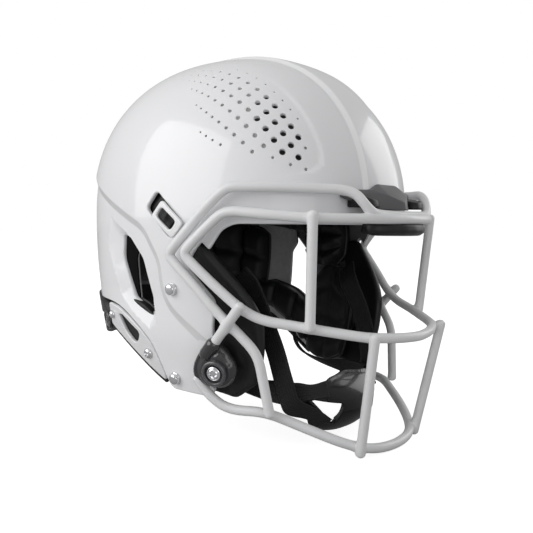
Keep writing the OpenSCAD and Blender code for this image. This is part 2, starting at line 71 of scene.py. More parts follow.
def ramp(t, soft=0.15):
    """0 to 1, straight between, rounded at both ends."""
    def bend(s):
        return np.where(s < -soft, 0, np.where(s > soft, s, (s + soft) ** 2 / (4 * soft)))
    return bend(t) - bend(t - 1)


def unit(v):
    return v / np.maximum(np.linalg.norm(v, axis=-1, keepdims=True), 1e-9)


CUT_SHARE = 0.48       # the most of a side that the cut at a corner takes


def bezier_corner(a, b, c, cut, n):
    p, q = (b + v * min(cut / np.linalg.norm(v), CUT_SHARE) for v in (a - b, c - b))
    t = np.linspace(0, 1, n)[:, None]
    return p * (1 - t) ** 2 + 2 * b * t * (1 - t) + q * t * t


def rounded(line, cut, n=6, closed=False):
    """A line whose corners are swung through curves that start cut before the corner."""
    line = np.array(line, float)
    k = len(line)
    cuts = np.broadcast_to(cut, k)
    out = [] if closed else [line[:1]]
    for i in range(0 if closed else 1, k if closed else k - 1):
        out.append(bezier_corner(line[i - 1], line[i], line[(i + 1) % k], cuts[i], n))
    if not closed:
        out.append(line[-1:])
    return np.concatenate(out)


def seg_gap(q, line, closed):
    """Distance from points q to a line, and the side of it that each lies on."""
    a = np.array(line, float)
    b = np.roll(a, -1, 0)
    if not closed:
        a, b = a[:-1], b[:-1]
    best = np.full(len(q), 1e9)
    side = np.zeros(len(q))
    for s, e in zip(a, b):
        d = e - s
        t = np.clip(((q - s) @ d) / max(d @ d, 1e-9), 0, 1)
        off = q - s - t[:, None] * d
        g = np.linalg.norm(off, axis=1)
        near = g < best - 1e-9
        best = np.where(near, g, best)
        side = np.where(near, np.sign(d[0] * off[:, 1] - d[1] * off[:, 0]), side)
    return best, side


def outside(q, poly):
    """Signed distance to a closed outline, positive outside."""
    gap, _ = seg_gap(q, poly, True)
    a = np.array(poly, float)
    b = np.roll(a, -1, 0)
    hits = np.zeros(len(q), int)
    for s, e in zip(a, b):
        cross = (s[1] > q[:, 1]) != (e[1] > q[:, 1])
        if s[1] != e[1]:
            at = s[0] + (q[:, 1] - s[1]) * (e[0] - s[0]) / (e[1] - s[1])
            hits += cross & (q[:, 0] < at)
    return np.where(hits % 2 == 1, -gap, gap)


def flip(p):
    return np.array(p, float) * [-1, 1, 1]


# ---- surface of the shell ----
def half_sizes(y, z, out):
    """Half width at a level, and reach to the rear or front, whichever way y is from the widest station."""
    low = np.clip((WIDE_Z - z) / LOW_SPAN, 0, 1.2)
    rear, front = REAR_LEN + out - REAR_TUCK * low ** 2.5, FRONT_LEN + out - FRONT_TUCK * low ** 2
    return HALF_W + out - SIDE_TUCK * low ** 2, np.where(y > WIDE_Y, rear, front)


def level(p, out=0.0):
    """1 on the surface that lies out millimetres outside the shell."""
    ax, ay = half_sizes(p[:, 1], p[:, 2], out)
    ly = np.abs(p[:, 1] - WIDE_Y) / ay
    lz = np.maximum(0, p[:, 2] - WIDE_Z) / (CROWN_H + out)
    return ((np.abs(p[:, 0]) / ax) ** EN + (ly ** EM + lz ** EM) ** (EN / EM)) ** (1 / EN)


def to_shell(p, out=0.0):
    """Points moved onto the shell: along a radius above the widest level, level below it."""
    s = 1 / level(p, out)[:, None]
    hub = np.stack([0 * p[:, 0], 0 * p[:, 1] + WIDE_Y, np.minimum(p[:, 2], WIDE_Z)], 1)
    return hub + (p - hub) * s


def normals(p):
    e = 0.05
    g = np.stack([level(p + d) - level(p - d) for d in np.eye(3) * e], 1)
    return unit(g)


def tangents(n):
    up = np.where(np.abs(n[:, 2:]) < 0.8, [[0, 0, 1.0]], [[0, 1.0, 0]])
    t1 = unit(np.cross(up, n))
    return t1, np.cross(n, t1)


def side_x(y, z, out=0.0):
    ax, ay = half_sizes(y, z, out)
    q = (np.abs(y - WIDE_Y) / ay) ** EM + (np.maximum(0, z - WIDE_Z) / (CROWN_H + out)) ** EM
    return ax * np.maximum(1e-4, 1 - q ** (EN / EM)) ** (1 / EN)


def on_side(y, z, out=0.0):
    """Points on the left side of the shell at y, z, moved out along the normal."""
    y, z = np.atleast_1d(y).astype(float), np.atleast_1d(z).astype(float)
    p = np.stack([side_x(y, z), y, z], 1)
    return p + normals(p) * np.reshape(out, (-1, 1))


def on_arc(x, a, out=0.0):
    """Points on the dome: x across, a from 0 (rear) over 90 (crown) to 180 (brow)."""
    x, a = np.broadcast_arrays(np.atleast_1d(x).astype(float), np.atleast_1d(a).astype(float))
    cos, sin = np.cos(np.radians(a)), np.sin(np.radians(a))
    r = np.maximum(0, 1 - (np.abs(x) / HALF_W) ** EN) ** (1 / EN)
    cy, cz = cos / np.where(a > 90, FRONT_LEN, REAR_LEN), sin / CROWN_H
    r = r * (np.abs(cy) ** EM + np.abs(cz) ** EM) ** (-1 / EM)
    p = np.stack([x, WIDE_Y + r * cos, WIDE_Z + r * sin], 1)
    return p + normals(p) * np.reshape(out, (-1, 1))


# ---- mesh helpers ----
def new_object(name, data):
    o = bpy.data.objects.new(name, data)
    bpy.context.scene.collection.objects.link(o)
    return o


def put(name, pts, faces, look, body="helmet", nodes=(), slot=None, shade=None, side=1, uv=None):
    """A mesh object from points in drawing millimetres, riding on a body.

    Side -1 mirrors it. Names that end with _ get the letter of their side.
    """
    letter = "l" if side > 0 else "r"
    name, body, *nodes = (n + letter if n and n.endswith("_") else n for n in (name, body, *nodes))
    mat, usual_slot = LOOKS[look]
    me = bpy.data.meshes.new(name)
    co = (np.asarray(pts, float) * [side, 1, 1] + [0, SHIFT_Y, 0]) * MM
    if isinstance(faces, np.ndarray):
        tri = faces[:, ::side]
        me.vertices.add(len(co))
        me.vertices.foreach_set("co", co.ravel())
        me.loops.add(tri.size)
        me.loops.foreach_set("vertex_index", tri.ravel().astype(np.int32))
        me.polygons.add(len(tri))
        me.polygons.foreach_set("loop_start", np.arange(0, tri.size, tri.shape[1], dtype=np.int32))
        me.update(calc_edges=True)
    else:
        me.from_pydata(co.tolist(), [], [[int(i) for i in f][::side] for f in faces])
    me.validate()
    me.update()
    me.polygons.foreach_set("use_smooth", [True] * len(me.polygons))
    if uv is not None:
        layer = me.uv_layers.new(name="UVMap")
        at = np.empty(len(me.loops), np.int32)
        me.loops.foreach_get("vertex_index", at)
        layer.data.foreach_set("uv", np.asarray(uv, float)[at].ravel())
    if shade is not None:
        me.normals_split_custom_set_from_vertices((np.asarray(shade) * [side, 1, 1]).tolist())
    me.materials.append(mat)
    o = new_object(name, me)
    if body:
        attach(o, body)
    if nodes:
        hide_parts(*nodes)
    return o


def skin_faces(rows, n, closed=False):
    """Quads between rows of n points each, then the two end faces of a skin that isn't closed."""
    faces = [(i * n + c, i * n + (c + 1) % n, (i + 1) % rows * n + (c + 1) % n, (i + 1) % rows * n + c)
             for i in range(rows if closed else rows - 1) for c in range(n)]
    if closed:
        return faces
    return faces + [tuple(range(n))[::-1], tuple((rows - 1) * n + c for c in range(n))]


def outward(pts, faces, quads):
    """The faces, all turned over if the first quads of them face inwards."""
    f = np.array(faces[:quads])
    face = np.cross(pts[f[:, 1]] - pts[f[:, 0]], pts[f[:, 3]] - pts[f[:, 0]])
    inwards = (face * (pts[f].mean(1) - pts.mean(0))).sum() < 0
    return [x[::-1] for x in faces] if inwards else faces


def sides_of(tri):
    """The sides 01, 12 and 20 of all triangles, each kind in turn."""
    return np.concatenate([tri[:, [0, 1]], tri[:, [1, 2]], tri[:, [2, 0]]])


def edges_of(tri):
    """Each edge once, and for each triangle which edges its sides are."""
    edges, which = np.unique(np.sort(sides_of(tri), 1), axis=0, return_inverse=True)
    return edges, which.reshape(3, -1).T


def refine(p, tri, target, project, rounds):
    """Splits edges that are longer than target at their middle."""
    for _ in range(rounds):
        edges, which = edges_of(tri)
        a, b = p[edges[:, 0]], p[edges[:, 1]]
        mid = (a + b) / 2
        long = np.linalg.norm(a - b, axis=1) > target(mid)
        if not long.any():
            break
        idx = np.full(len(edges), -1)
        idx[long] = len(p) + np.arange(long.sum())
        p = np.concatenate([p, project(mid[long])])
        tri = split_tris(tri, idx[which])
    return p, tri


def split_tris(tri, m):
    """Triangles split at the edge points m (for edges 01, 12, 20; -1 where there is none)."""
    count = (m >= 0).sum(1)
    full = np.concatenate([tri, m], 1)[count == 3]
    out = [tri[count == 0]] + [full[:, s] for s in ([0, 3, 5], [3, 1, 4], [5, 4, 2], [3, 4, 5])]
    for r in range(3):
        t = np.concatenate([np.roll(tri, -r, 1), np.roll(m, -r, 1)], 1)
        one, two = t[(count == 1) & (t[:, 3] >= 0)], t[(count == 2) & (t[:, 5] < 0)]
        out += [one[:, s] for s in ([0, 3, 2], [3, 1, 2])]
        out += [two[:, s] for s in ([1, 4, 3], [0, 3, 4], [0, 4, 2])]
    return np.concatenate(out)


def cut_level(p, tri, s, at, project):
    """Splits triangles along the line where the field s equals at."""
    s = np.where(np.abs(s - at) < 1e-6, at, s)
    edges, which = edges_of(tri)
    sa, sb = s[edges[:, 0]], s[edges[:, 1]]
    hit = (sa - at) * (sb - at) < 0
    t = ((at - sa[hit]) / (sb[hit] - sa[hit]))[:, None]
    new = p[edges[hit, 0]] * (1 - t) + p[edges[hit, 1]] * t
    idx = np.full(len(edges), -1)
    idx[hit] = len(p) + np.arange(hit.sum())
    return (np.concatenate([p, project(new)]), split_tris(tri, idx[which]),
            np.concatenate([s, np.full(hit.sum(), at)]))


def two_walls(tri, count):
    """Faces of a sheet of triangles, of its copy count points further on, and of the rim between."""
    _, inv, uses = np.unique(np.sort(sides_of(tri), 1), axis=0, return_inverse=True, return_counts=True)
    rim = sides_of(tri)[uses[inv.reshape(-1)] == 1]
    return np.concatenate([tri, tri[:, ::-1] + count,
                           np.stack([rim[:, 1], rim[:, 0], rim[:, 0] + count], 1),
                           np.stack([rim[:, 1], rim[:, 0] + count, rim[:, 1] + count], 1)])


def face_normals(pts, tri):
    return np.cross(pts[tri[:, 1]] - pts[tri[:, 0]], pts[tri[:, 2]] - pts[tri[:, 0]])


def point_normals(pts, tri):
    face = face_normals(pts, tri)
    at = tri.T.ravel()
    sums = [np.bincount(at, np.tile(face[:, c], 3), len(pts)) for c in range(3)]
    return unit(np.stack(sums, 1))


def drop_unused(tri, *arrays):
    used, new = np.unique(tri, return_inverse=True)
    return (new.reshape(tri.shape), *[a[used] for a in arrays])


def quarter_round(t):
    """How far a rounded edge has dropped, at t from 0 on the rim to 1 inside."""
    return 1 - np.sqrt(np.maximum(0, 1 - (1 - t) ** 2))


# ---- openings and relief of the shell ----
VENT = rounded([[53, 155], [38.5, 153.6], [23.9, 138.3], [14.6, 107.2], [17.8, 94], [42, 106],
                [56, 137]], [2, 2, 4, 3, 1.5, 3, 5], closed=True)
FACE = rounded([[-260, 169], [-61, 166.5], [-52, 162], [-42.4, 147.5], [-36.5, 153], [-29.5, 145],
                [-25.5, 138], [-26, 132.5], [-38, 119.5], [-45.5, 111], [-45, 104], [-42, 92],
                [-41.5, 60], [-38, 44], [-26, 30], [-26, -60], [-260, -60]],
               [1, 4, 4, 1.5, 1.5, 3, 3, 3, 6, 4, 3, 5, 8, 5, 3, 1, 1], closed=True)
EDGE = rounded([[-30, 37.2], [4.8, 38.6], [9, 47.9], [13.5, 60.4], [20, 73.6], [30, 82.6],
                [45, 92.2], [60, 98.6], [76, 100.8], [260, 102], [260, -60], [-30, -60]],
               [1, 5, 4, 5, 5, 6, 7, 7, 7, 1, 1, 1], closed=True)
SLOT = rounded([[4.6, 189.5], [15.6, 176.8], [-9.5, 154.5], [-20.5, 167]], 4, closed=True)

# rows of ventilation holes: k counts rows away from the crest, m counts holes towards the brow
ROW_ENDS = [(-9, 2), (-9, 4), (-9, 5), (-10, 4), (-8, 3), (-6, 2), (-3, 0)]
ROW_SCALE = [0.42, 1, 1, 1, 0.85, 0.7, 0.52]
ROW_THROUGH = {1: (-1, 3), 2: (-1, 4), 3: (0, 3)}
FIT_X = [63.1, 6.637, -0.34, -0.092, -0.073, -0.1594, -0.0151, -0.0147, -0.0087]
FIT_A = [136.4, 1.189, 4.791, -0.063, 0.527, -0.11, 0.0353, -0.068, -0.0082]
VENT_R, VENT_SHRINK, LAST_SHRINK, DIMPLE = 2.3, 0.18, 0.6, 1.4


def vent_holes():
    """Centre, radius and whether it goes through, of each hole on the left side."""
    out = []
    for k, (first, last) in enumerate(ROW_ENDS):
        for m in range(first, last + 1):
            terms = np.array([1, k, m, k * k, k * m, m * m, k * m * m, k * k * m, m ** 3])
            r = (VENT_R + VENT_SHRINK * min(m, 0)) * ROW_SCALE[k]
            if m == last and 0 < k < 5:
                r *= LAST_SHRINK
            lo, hi = ROW_THROUGH.get(k, (9, 9))
            out.append((on_arc(terms @ FIT_X, terms @ FIT_A)[0], r, lo <= m <= hi))
    return out


HOLES = vent_holes()
BEVEL = np.array([[45, 158], [67, 170], [74, 147], [64, 125], [55.5, 107], [38, 94.5], [20, 84],
                  [12, 90], [14.6, 107.2], [23.9, 138.3], [38.5, 153.6]])
BEVEL_DEPTH = 4.6


def clear_of(q, line, reach):
    """Distance outside a closed outline; far from its box only a lower bound is given."""
    lo, hi = line.min(0) - reach, line.max(0) + reach
    some = ((q > lo) & (q < hi)).all(1)
    out = np.full(len(q), float(reach))
    out[some] = outside(q[some], line)
    return out


HOLE_X, HOLE_Z = (50, 110), 190        # no hole lies outside these


def near_holes(p, reach=6.0):
    """For each point, the gap to the nearest hole's rim, its radius and whether it goes through."""
    ax = np.abs(p[:, 0])
    gap = np.full(len(p), 1e3)
    rad = np.ones(len(p))
    through = np.zeros(len(p), bool)
    rows = np.nonzero((ax > HOLE_X[0]) & (ax < HOLE_X[1]) & (p[:, 2] > HOLE_Z))[0]
    q = np.stack([ax[rows], p[rows, 1], p[rows, 2]], 1)
    for c, r, open_ in HOLES:
        near = np.nonzero((np.abs(q - c) < r + reach).all(1))[0]
        g = np.linalg.norm(q[near] - c, axis=1) - r
        at = rows[near]
        closer = g < gap[at]
        gap[at[closer]] = g[closer]
        rad[at[closer]] = r
        through[at[closer]] = open_
    return gap, rad, through


HOLE_LIP = 0.5


def shell_field(p):
    """How far points are inside the kept wall, in units of the lip beside them."""
    q = p[:, 1:]
    s = np.min([clear_of(q, line, 9) for line in (VENT, FACE, EDGE, SLOT)], 0) / LIP
    gap, _, through = near_holes(p)
    near = through & (gap / HOLE_LIP < s)
    return np.where(near, gap / HOLE_LIP, s), np.where(near, HOLE_LIP, LIP)


RIDGE = rounded([[230, 257], [112.3, 205], [19.2, 164], [1.5, 138.5], [-1, 108.7], [-34.9, 83],
                 [-80, 50]], [5, 20, 9, 9, 14, 8, 1])
RIDGE_DEPTH, RIDGE_W, RIDGE_END, RIDGE_FADE = 2.8, 6.0, 80, (74, 40)
# soft steps on the brow, seen from the front: x and z
PANEL = np.array([[57.7, 285.0], [57.7, 271.6], [55.1, 218.2], [57, 209.6], [64.3, 204.3], [90, 199]])
PANEL_DEPTH, PANEL_W = 1.1, 3.0
PANEL_TOP, PANEL_SIDE, PANEL_FADE = 285, 90, (40, 30, 30)


def across_ridge(p):
    """How far points are past the ridge line, in widths of the band that follows it."""
    gap, side = seg_gap(p[:, 1:], RIDGE, False)
    return gap * side / RIDGE_W


def from_middle(p):
    return np.abs(p[:, 0])


def relief(p):
    """Height of the shell's features over its plain surface, and the part that the inside follows."""
    x = from_middle(p)
    q = p[:, 1:]
    depth = RIDGE_DEPTH * smooth((p[:, 2] - RIDGE_FADE[0]) / RIDGE_FADE[1])
    both = -depth * ramp(across_ridge(p), 0.12)
    inside = -clear_of(q, BEVEL, 1)
    at = inside > 0
    to_vent = np.abs(clear_of(q[at], VENT, 30))
    both[at] -= BEVEL_DEPTH * ramp(inside[at] / (inside[at] + to_vent + 0.01), 0.08)
    step, turn = seg_gap(np.stack([x, p[:, 2]], 1), PANEL, False)
    to_ends = np.stack([PANEL_TOP - p[:, 2], PANEL_SIDE - x, -p[:, 1]], 1)
    fade = smooth(to_ends / PANEL_FADE).prod(1)
    over = CREST_H * ramp((CREST_W + CREST_SLOPE - x) / CREST_SLOPE, 0.12)
    over = over - PANEL_DEPTH * fade * ramp(step * turn / PANEL_W + 0.5, 0.2)
    hole, rad, through = near_holes(p)
    dip = DIMPLE * np.minimum(1, rad * 0.8) * smooth(-hole / np.minimum(0.7, rad * 0.7))
    return over - np.where(through, 0, dip), both


CAP_ROWS, ROW_STEP, ROW_LOW = 44, 3.5, 24


def square_ring(half, z):
    """Directions round a square of a half side, at a height, walked once round."""
    a = np.tan(np.linspace(-1, 1, 2 * CAP_ROWS + 1)[:-1] * math.pi / 4) * half
    one = np.full(len(a), half)
    xy = np.concatenate([np.stack(s, 1) for s in ((a, -one), (one, a), (-a, one), (-one, -a))])
    return np.concatenate([xy, np.full((len(xy), 1), z)], 1)


def coarse_shell():
    """A box of directions blown up to the shell: a cap of squares and upper walls, then lower rings."""
    out = [math.tan(k / CAP_ROWS * math.pi / 4) for k in range(CAP_ROWS + 1)]
    rows = [square_ring(f, 1.0) for f in out] + [square_ring(1.0, f) for f in out[-2::-1]]
    m = len(rows[0])
    p = np.concatenate(rows) * [HALF_W, (FRONT_LEN + REAR_LEN) / 2, CROWN_H]
    p = to_shell(p + [0, WIDE_Y, WIDE_Z])
    heights = np.arange(WIDE_Z - ROW_STEP, ROW_LOW, -ROW_STEP)
    p = np.concatenate([p] + [to_shell(p[-m:] * [1, 1, 0] + [0, 0, z]) for z in heights])
    a = np.arange(len(p) - m)
    b = a - a % m + (a + 1) % m
    tri = np.concatenate([np.stack([a, a + m, b + m], 1), np.stack([a, b + m, b], 1)])
    tri = np.where(tri < m, 0, tri)              # the innermost ring is a single point
    tri = tri[(tri[:, 0] != tri[:, 1]) & (tri[:, 1] != tri[:, 2]) & (tri[:, 2] != tri[:, 0])]
    tri, p = drop_unused(tri, p)
    inwards = (face_normals(p, tri) * (p[tri].mean(1) - [0, WIDE_Y, 120])).sum() < 0
    return p, tri[:, ::-1] if inwards else tri


def edge_target(q):
    """The longest edge wanted at each point: short beside openings, holes and creases."""
    s, lip = shell_field(q)
    size = np.where(np.abs(s) * lip < 3.5, 1.3, 4.5)
    hole, rad, _ = near_holes(q)
    size = np.minimum(size, np.clip(rad * 0.36, 0.28, 0.62) + 0.8 * np.maximum(0, hole - 0.5))
    for gap, reach, most in ((across_ridge(q) * RIDGE_W, 9, 2.0), (clear_of(q[:, 1:], BEVEL, 5), 4, 1.8),
                             (from_middle(q) - CREST_W - CREST_SLOPE / 2, 5, 1.7)):
        size = np.where(np.abs(gap) < reach, np.minimum(size, most), size)
    return size


def build_shell():
    p, tri = refine(*coarse_shell(), edge_target, to_shell, 6)
    s, _ = shell_field(p)
    for at in (1.0, 0.55, 0.2, 0.0):
        p, tri, s = cut_level(p, tri, s, at, to_shell)
    tri = tri[s[tri].min(1) >= -1e-9]
    tri, p, s = drop_unused(tri, p, s)
    # clean borders for the band that follows the ridge, and for the crest's slopes, where the painted shade
    # and the painted highlight begin
    for field, at in ((across_ridge, 0.0), (across_ridge, 1.0), (from_middle, CREST_W),
                      (from_middle, CREST_W + CREST_SLOPE)):
        keep = len(p)
        p, tri, _ = cut_level(p, tri, field(p), at, to_shell)
        s = np.concatenate([s, shell_field(p[keep:])[0]])
    _, lip = shell_field(p)
    n0 = normals(p)
    t1, t2 = tangents(n0)
    e = 0.1
    outer, both = relief(p)
    g1, g2 = [(np.sum(relief(p + t * e), 0) - np.sum(relief(p - t * e), 0)) / (2 * e) for t in (t1, t2)]
    shade = unit(n0 - g1[:, None] * t1 - g2[:, None] * t2)
    t = np.clip(s, 0, 1)
    drop = quarter_round(t)
    top = p + n0 * (outer + both - lip * drop)[:, None]
    inner_lip = np.where(lip < 1, 0.4, INNER_LIP)
    low = p + n0 * (both - SHELL_T + inner_lip * drop)[:, None]
    k = len(p)
    faces = two_walls(tri, k)
    pts = np.concatenate([top, low])
    # geometric normals in the lip, exact ones elsewhere
    vn = point_normals(pts, faces)
    vn[:k] = np.where((t > 0.999)[:, None], shade, vn[:k])
    vn[k:] = np.where((t > 0.999)[:, None], -n0, vn[k:])
    o = put("helmet_shell", pts, faces, "shell", nodes=["shell"], shade=vn)
    for key in ("inside", "dimple", "groove", "slope"):
        o.data.materials.append(LOOKS[key][0])
    which = np.zeros(len(faces), np.int32)
    # the inner skin gets a dark grey copy of the shell's white: painted shade
    which[len(tri):2 * len(tri)] = s[tri].min(1) > 0.999
    hole, rad, through = near_holes(p)
    # faces sunk in dimples that don't go through get a darker grey copy of the shell's white: painted shade
    painted_shade_dimple_mask = (hole < -0.12 * np.minimum(1, rad)) & ~through
    across = across_ridge(p)
    # faces on the band that follows the ridge get a darker copy of the shell's white: painted shade
    band = (across > -0.02) & (across < 1.02) & (p[:, 2] > RIDGE_END)
    out = from_middle(p) - CREST_W
    # faces on the crest's slopes get a lighter, glossier copy of the shell's white: a painted highlight
    slope = (out > -0.02) & (out < CREST_SLOPE + 0.02) & (p[:, 2] > CREST_END)
    which[:len(tri)] = np.select([painted_shade_dimple_mask[tri].all(1), band[tri].all(1), slope[tri].all(1)], [2, 3, 4], 0)
    o.data.polygons.foreach_set("material_index", which)


# ---- materials ----
def set_up(tree, node, sockets):
    """Gives a node's sockets their numbers, or links them to other nodes' outputs."""
    for key, value in sockets.items():
        if isinstance(value, bpy.types.NodeSocket):
            tree.links.new(value, node.inputs[key])
        else:
            node.inputs[key].default_value = value
    return node


def add_node(tree, kind, sockets=(), **settings):
    node = tree.nodes.new("ShaderNode" + kind)
    for key, value in settings.items():
        setattr(node, key, value)
    return set_up(tree, node, dict(sockets))


def material(name, grey, blue, rough, metallic=0.0, coat=0.0, coat_rough=0.03, tint=0.03, tint_size=18,
             rough_vary=0.05, bump=0.05, bump_size=350, bump_depth=0.0002, sheen=0.0, specular=0.5):
    """A surface with slight mottling of colour and roughness and a fine grain."""
    m = bpy.data.materials.new(name)
    m.use_nodes = True
    tree = m.node_tree
    where = add_node(tree, "TexCoord").outputs["Object"]
    noise = add_node(tree, "TexNoise", {"Scale": tint_size, "Detail": 3, "Vector": where}).outputs["Fac"]
    dark, pale = ([*[min(1, c * (1 + f)) for c in (grey, grey, blue)], 1] for f in (-tint, tint))
    color = add_node(tree, "Mix", {"A": dark, "B": pale, "Factor": noise}, data_type="RGBA")
    span = add_node(tree, "MapRange", {"To Min": max(0.02, rough - rough_vary),
                                       "To Max": min(1, rough + rough_vary), "Value": noise})
    grain = add_node(tree, "TexNoise", {"Scale": bump_size, "Detail": 2, "Vector": where})
    bumps = add_node(tree, "Bump", {"Strength": bump, "Distance": bump_depth,
                                    "Height": grain.outputs["Fac"]})
    set_up(tree, tree.nodes["Principled BSDF"], {
        "Metallic": metallic, "Coat Weight": coat, "Coat Roughness": coat_rough,
        "Specular IOR Level": specular, "Sheen Weight": sheen, "Base Color": color.outputs["Result"],
        "Roughness": span.outputs["Result"], "Normal": bumps.outputs["Normal"]})
    return m


YARNS = (("X", 0.16), ("Y", 0.23))     # the direction and scale of each set of waves
YARN_BUMP = {"Strength": 0.7, "Distance": 0.0004}


def weave(m):
    """Yarns across and along a strap, from its flat coordinates in millimetres."""
    tree = m.node_tree
    flat = add_node(tree, "UVMap", uv_map="UVMap").outputs["UV"]
    waves = [add_node(tree, "TexWave", {"Scale": scale, "Vector": flat}, bands_direction=axis).outputs["Fac"]
             for axis, scale in YARNS]
    both = add_node(tree, "Math", enumerate(waves), operation="MULTIPLY")
    bumps = add_node(tree, "Bump", {**YARN_BUMP, "Height": both.outputs["Value"]})
    set_up(tree, tree.nodes["Principled BSDF"], {"Normal": bumps.outputs["Normal"]})


LOOKS = {}             # a short name for each surface: its material, and the slot that it usually goes in


def look(key, slot, *shade, **more):
    LOOKS[key] = material(*shade, **more), slot


look("shell", "shell_gloss", "shell_gloss_white", 0.80, 0.815, 0.30, coat=0.6, coat_rough=0.06,
     specular=0.3, tint=0.01, bump=0.02, bump_size=260)
# a dark grey copy of the shell's white for the inner skin: painted shade
look("inside", "shell_gloss", "shell_inside_grey", 0.20, 0.205, 0.62, tint=0.06, tint_size=30, bump=0.3,
     bump_size=700, bump_depth=0.0003, specular=0.2)
# a darker grey copy of the shell's white for the dimples: painted shade
look("dimple", "shell_gloss", "shell_dimple", 0.36, 0.365, 0.5, bump_size=400)
# a darker copy of the shell's white for the band that follows the ridge: painted shade
look("groove", "shell_gloss", "shell_band", 0.66, 0.67, 0.36, coat=0.3, coat_rough=0.15, tint=0.01,
     bump=0.03, bump_size=300, specular=0.3)
# a lighter, glossier copy of the shell's white for the crest's slopes: a painted highlight
look("slope", "shell_gloss", "shell_crest_slope", 0.89, 0.90, 0.22, coat=0.6, coat_rough=0.05,
     tint=0.01, bump=0.02, bump_size=260)
# the black of the web's face towards the side opening: painted shade
look("dark", "dark_rubber", "matt_black_board", 0.004, 0.0045, 0.85, specular=0.08, tint=0.3,
     tint_size=200, bump=0.3, bump_size=900, bump_depth=0.0003)
look("web", "grey_plastic", "liner_web_grey", 0.42, 0.425, 0.6, tint=0.2, tint_size=260, bump=0.25,
     bump_size=700)
look("guard", "guard_coat", "powder_coat_white", 0.74, 0.75, 0.40, coat=0.25, coat_rough=0.2,
     tint=0.015, bump=0.10, bump_size=900)
look("chrome", "chrome", "polished_chrome", 0.80, 0.82, 0.13, metallic=1.0, rough_vary=0.04, bump=0.03,
     bump_size=600)
look("bumper", "bumper_rubber", "bumper_satin", 0.10, 0.105, 0.38, tint=0.08, tint_size=60, bump=0.25,
     bump_size=1400, bump_depth=0.0003)
look("band", "dark_rubber", "dark_rubber", 0.012, 0.013, 0.42, specular=0.35, tint=0.12, tint_size=50,
     bump=0.2, bump_size=1300, bump_depth=0.0003)
look("smoky", "clip_plastic", "smoky_plastic", 0.03, 0.033, 0.16, coat=0.6, coat_rough=0.08, tint=0.25,
     tint_size=90, bump_size=300)
look("washer", "washer_plastic", "smoky_washer", 0.07, 0.075, 0.2, coat=0.6, coat_rough=0.1, tint=0.15,
     tint_size=120, bump_size=500)
look("white", "white_plastic", "clip_white", 0.78, 0.79, 0.3, coat=0.5, coat_rough=0.08, tint=0.02,
     bump_size=500)
look("grey", "grey_plastic", "strip_grey", 0.72, 0.73, 0.3, coat=0.3, coat_rough=0.15, tint=0.06,
     tint_size=40, bump=0.08, bump_size=700)
look("cup", "cup_plastic", "cup_black_gloss", 0.006, 0.0065, 0.24, coat=0.3, coat_rough=0.06,
     specular=0.3, tint=0.2, tint_size=60, bump=0.04)
look("foam", "foam_fabric", "pad_cover", 0.010, 0.011, 0.48, tint=0.25, tint_size=70, rough_vary=0.08,
     bump=0.5, bump_size=1500, bump_depth=0.0004, sheen=0.03, specular=0.35)
look("knit", "liner_fabric", "liner_knit", 0.016, 0.017, 0.6, tint=0.25, tint_size=80, rough_vary=0.08,
     bump=0.6, bump_size=1100, bump_depth=0.0005, sheen=0.06, specular=0.3)
look("piping", "foam_fabric", "pad_piping", 0.05, 0.052, 0.5, specular=0.3, tint=0.15, tint_size=200,
     bump=0.4, bump_size=1600, bump_depth=0.0003)
look("webbing", "webbing", "black_webbing", 0.009, 0.010, 0.5, tint=0.3, tint_size=150, sheen=0.05,
     specular=0.35)
weave(LOOKS["webbing"][0])


# ---- wires of the face guard ----
def line_at(line, t):
    """Points at fractions t of a line's length."""
    line = np.array(line, float)
    at = np.concatenate([[0], np.cumsum(np.linalg.norm(np.diff(line, axis=0), axis=1))])
    return np.stack([np.interp(np.asarray(t) * at[-1], at, line[:, c]) for c in range(line.shape[1])], -1)


def length_of(line):
    return np.linalg.norm(np.diff(line, axis=0), axis=1).sum()


DOME_RINGS, DOME_REACH, DOME_TIP = 6, 0.9, 0.02


def tube(path, r, n=20, step=2.2, closed=False):
    """A round tube along a path, with domed ends: its points, its faces and its middle line."""
    path = np.array(path, float)
    if closed:
        path = np.concatenate([path, path[:1]])
    p = line_at(path, np.linspace(0, 1, max(3, int(length_of(path) / step)) + 1))
    if closed:
        p = p[:-1]
    t = unit(np.roll(p, -1, 0) - np.roll(p, 1, 0))
    if not closed:
        t[0], t[-1] = unit(p[1] - p[0]), unit(p[-1] - p[-2])
    u = unit(np.cross(t[0], [0.31, 0.2, 0.93]))
    us = []
    for ti in t:                                 # the ring's start is carried along the path
        u = unit(u - (u @ ti) * ti)
        us.append(u)
    us = np.array(us)
    if closed:                                   # the leftover twist is spread over the loop
        last = unit(us[-1] - (us[-1] @ t[0]) * t[0])
        twist = math.atan2(np.cross(last, us[0]) @ t[0], last @ us[0])
        turn = np.linspace(0, twist, len(p))[:, None]
        us = us * np.cos(turn) + np.cross(t, us) * np.sin(turn)
    ws = np.cross(t, us)
    centres, rad = p, np.full(len(p), r)
    if not closed:
        a = np.linspace(0, math.pi / 2, DOME_RINGS + 1)[1:]
        reach = r * DOME_REACH * np.sin(a)[:, None]
        thin = r * np.maximum(np.cos(a), DOME_TIP)
        centres = np.concatenate([(p[0] - reach * t[0])[::-1], p, p[-1] + reach * t[-1]])
        us, ws = (np.pad(v, ((DOME_RINGS, DOME_RINGS), (0, 0)), "edge") for v in (us, ws))
        rad = np.concatenate([thin[::-1], rad, thin])
    a = np.linspace(0, 2 * math.pi, n, endpoint=False)
    ring = np.cos(a)[None, :, None] * us[:, None] + np.sin(a)[None, :, None] * ws[:, None]
    pts = (centres[:, None] + ring * rad[:, None, None]).reshape(-1, 3)
    return pts, skin_faces(len(centres), n, closed), p


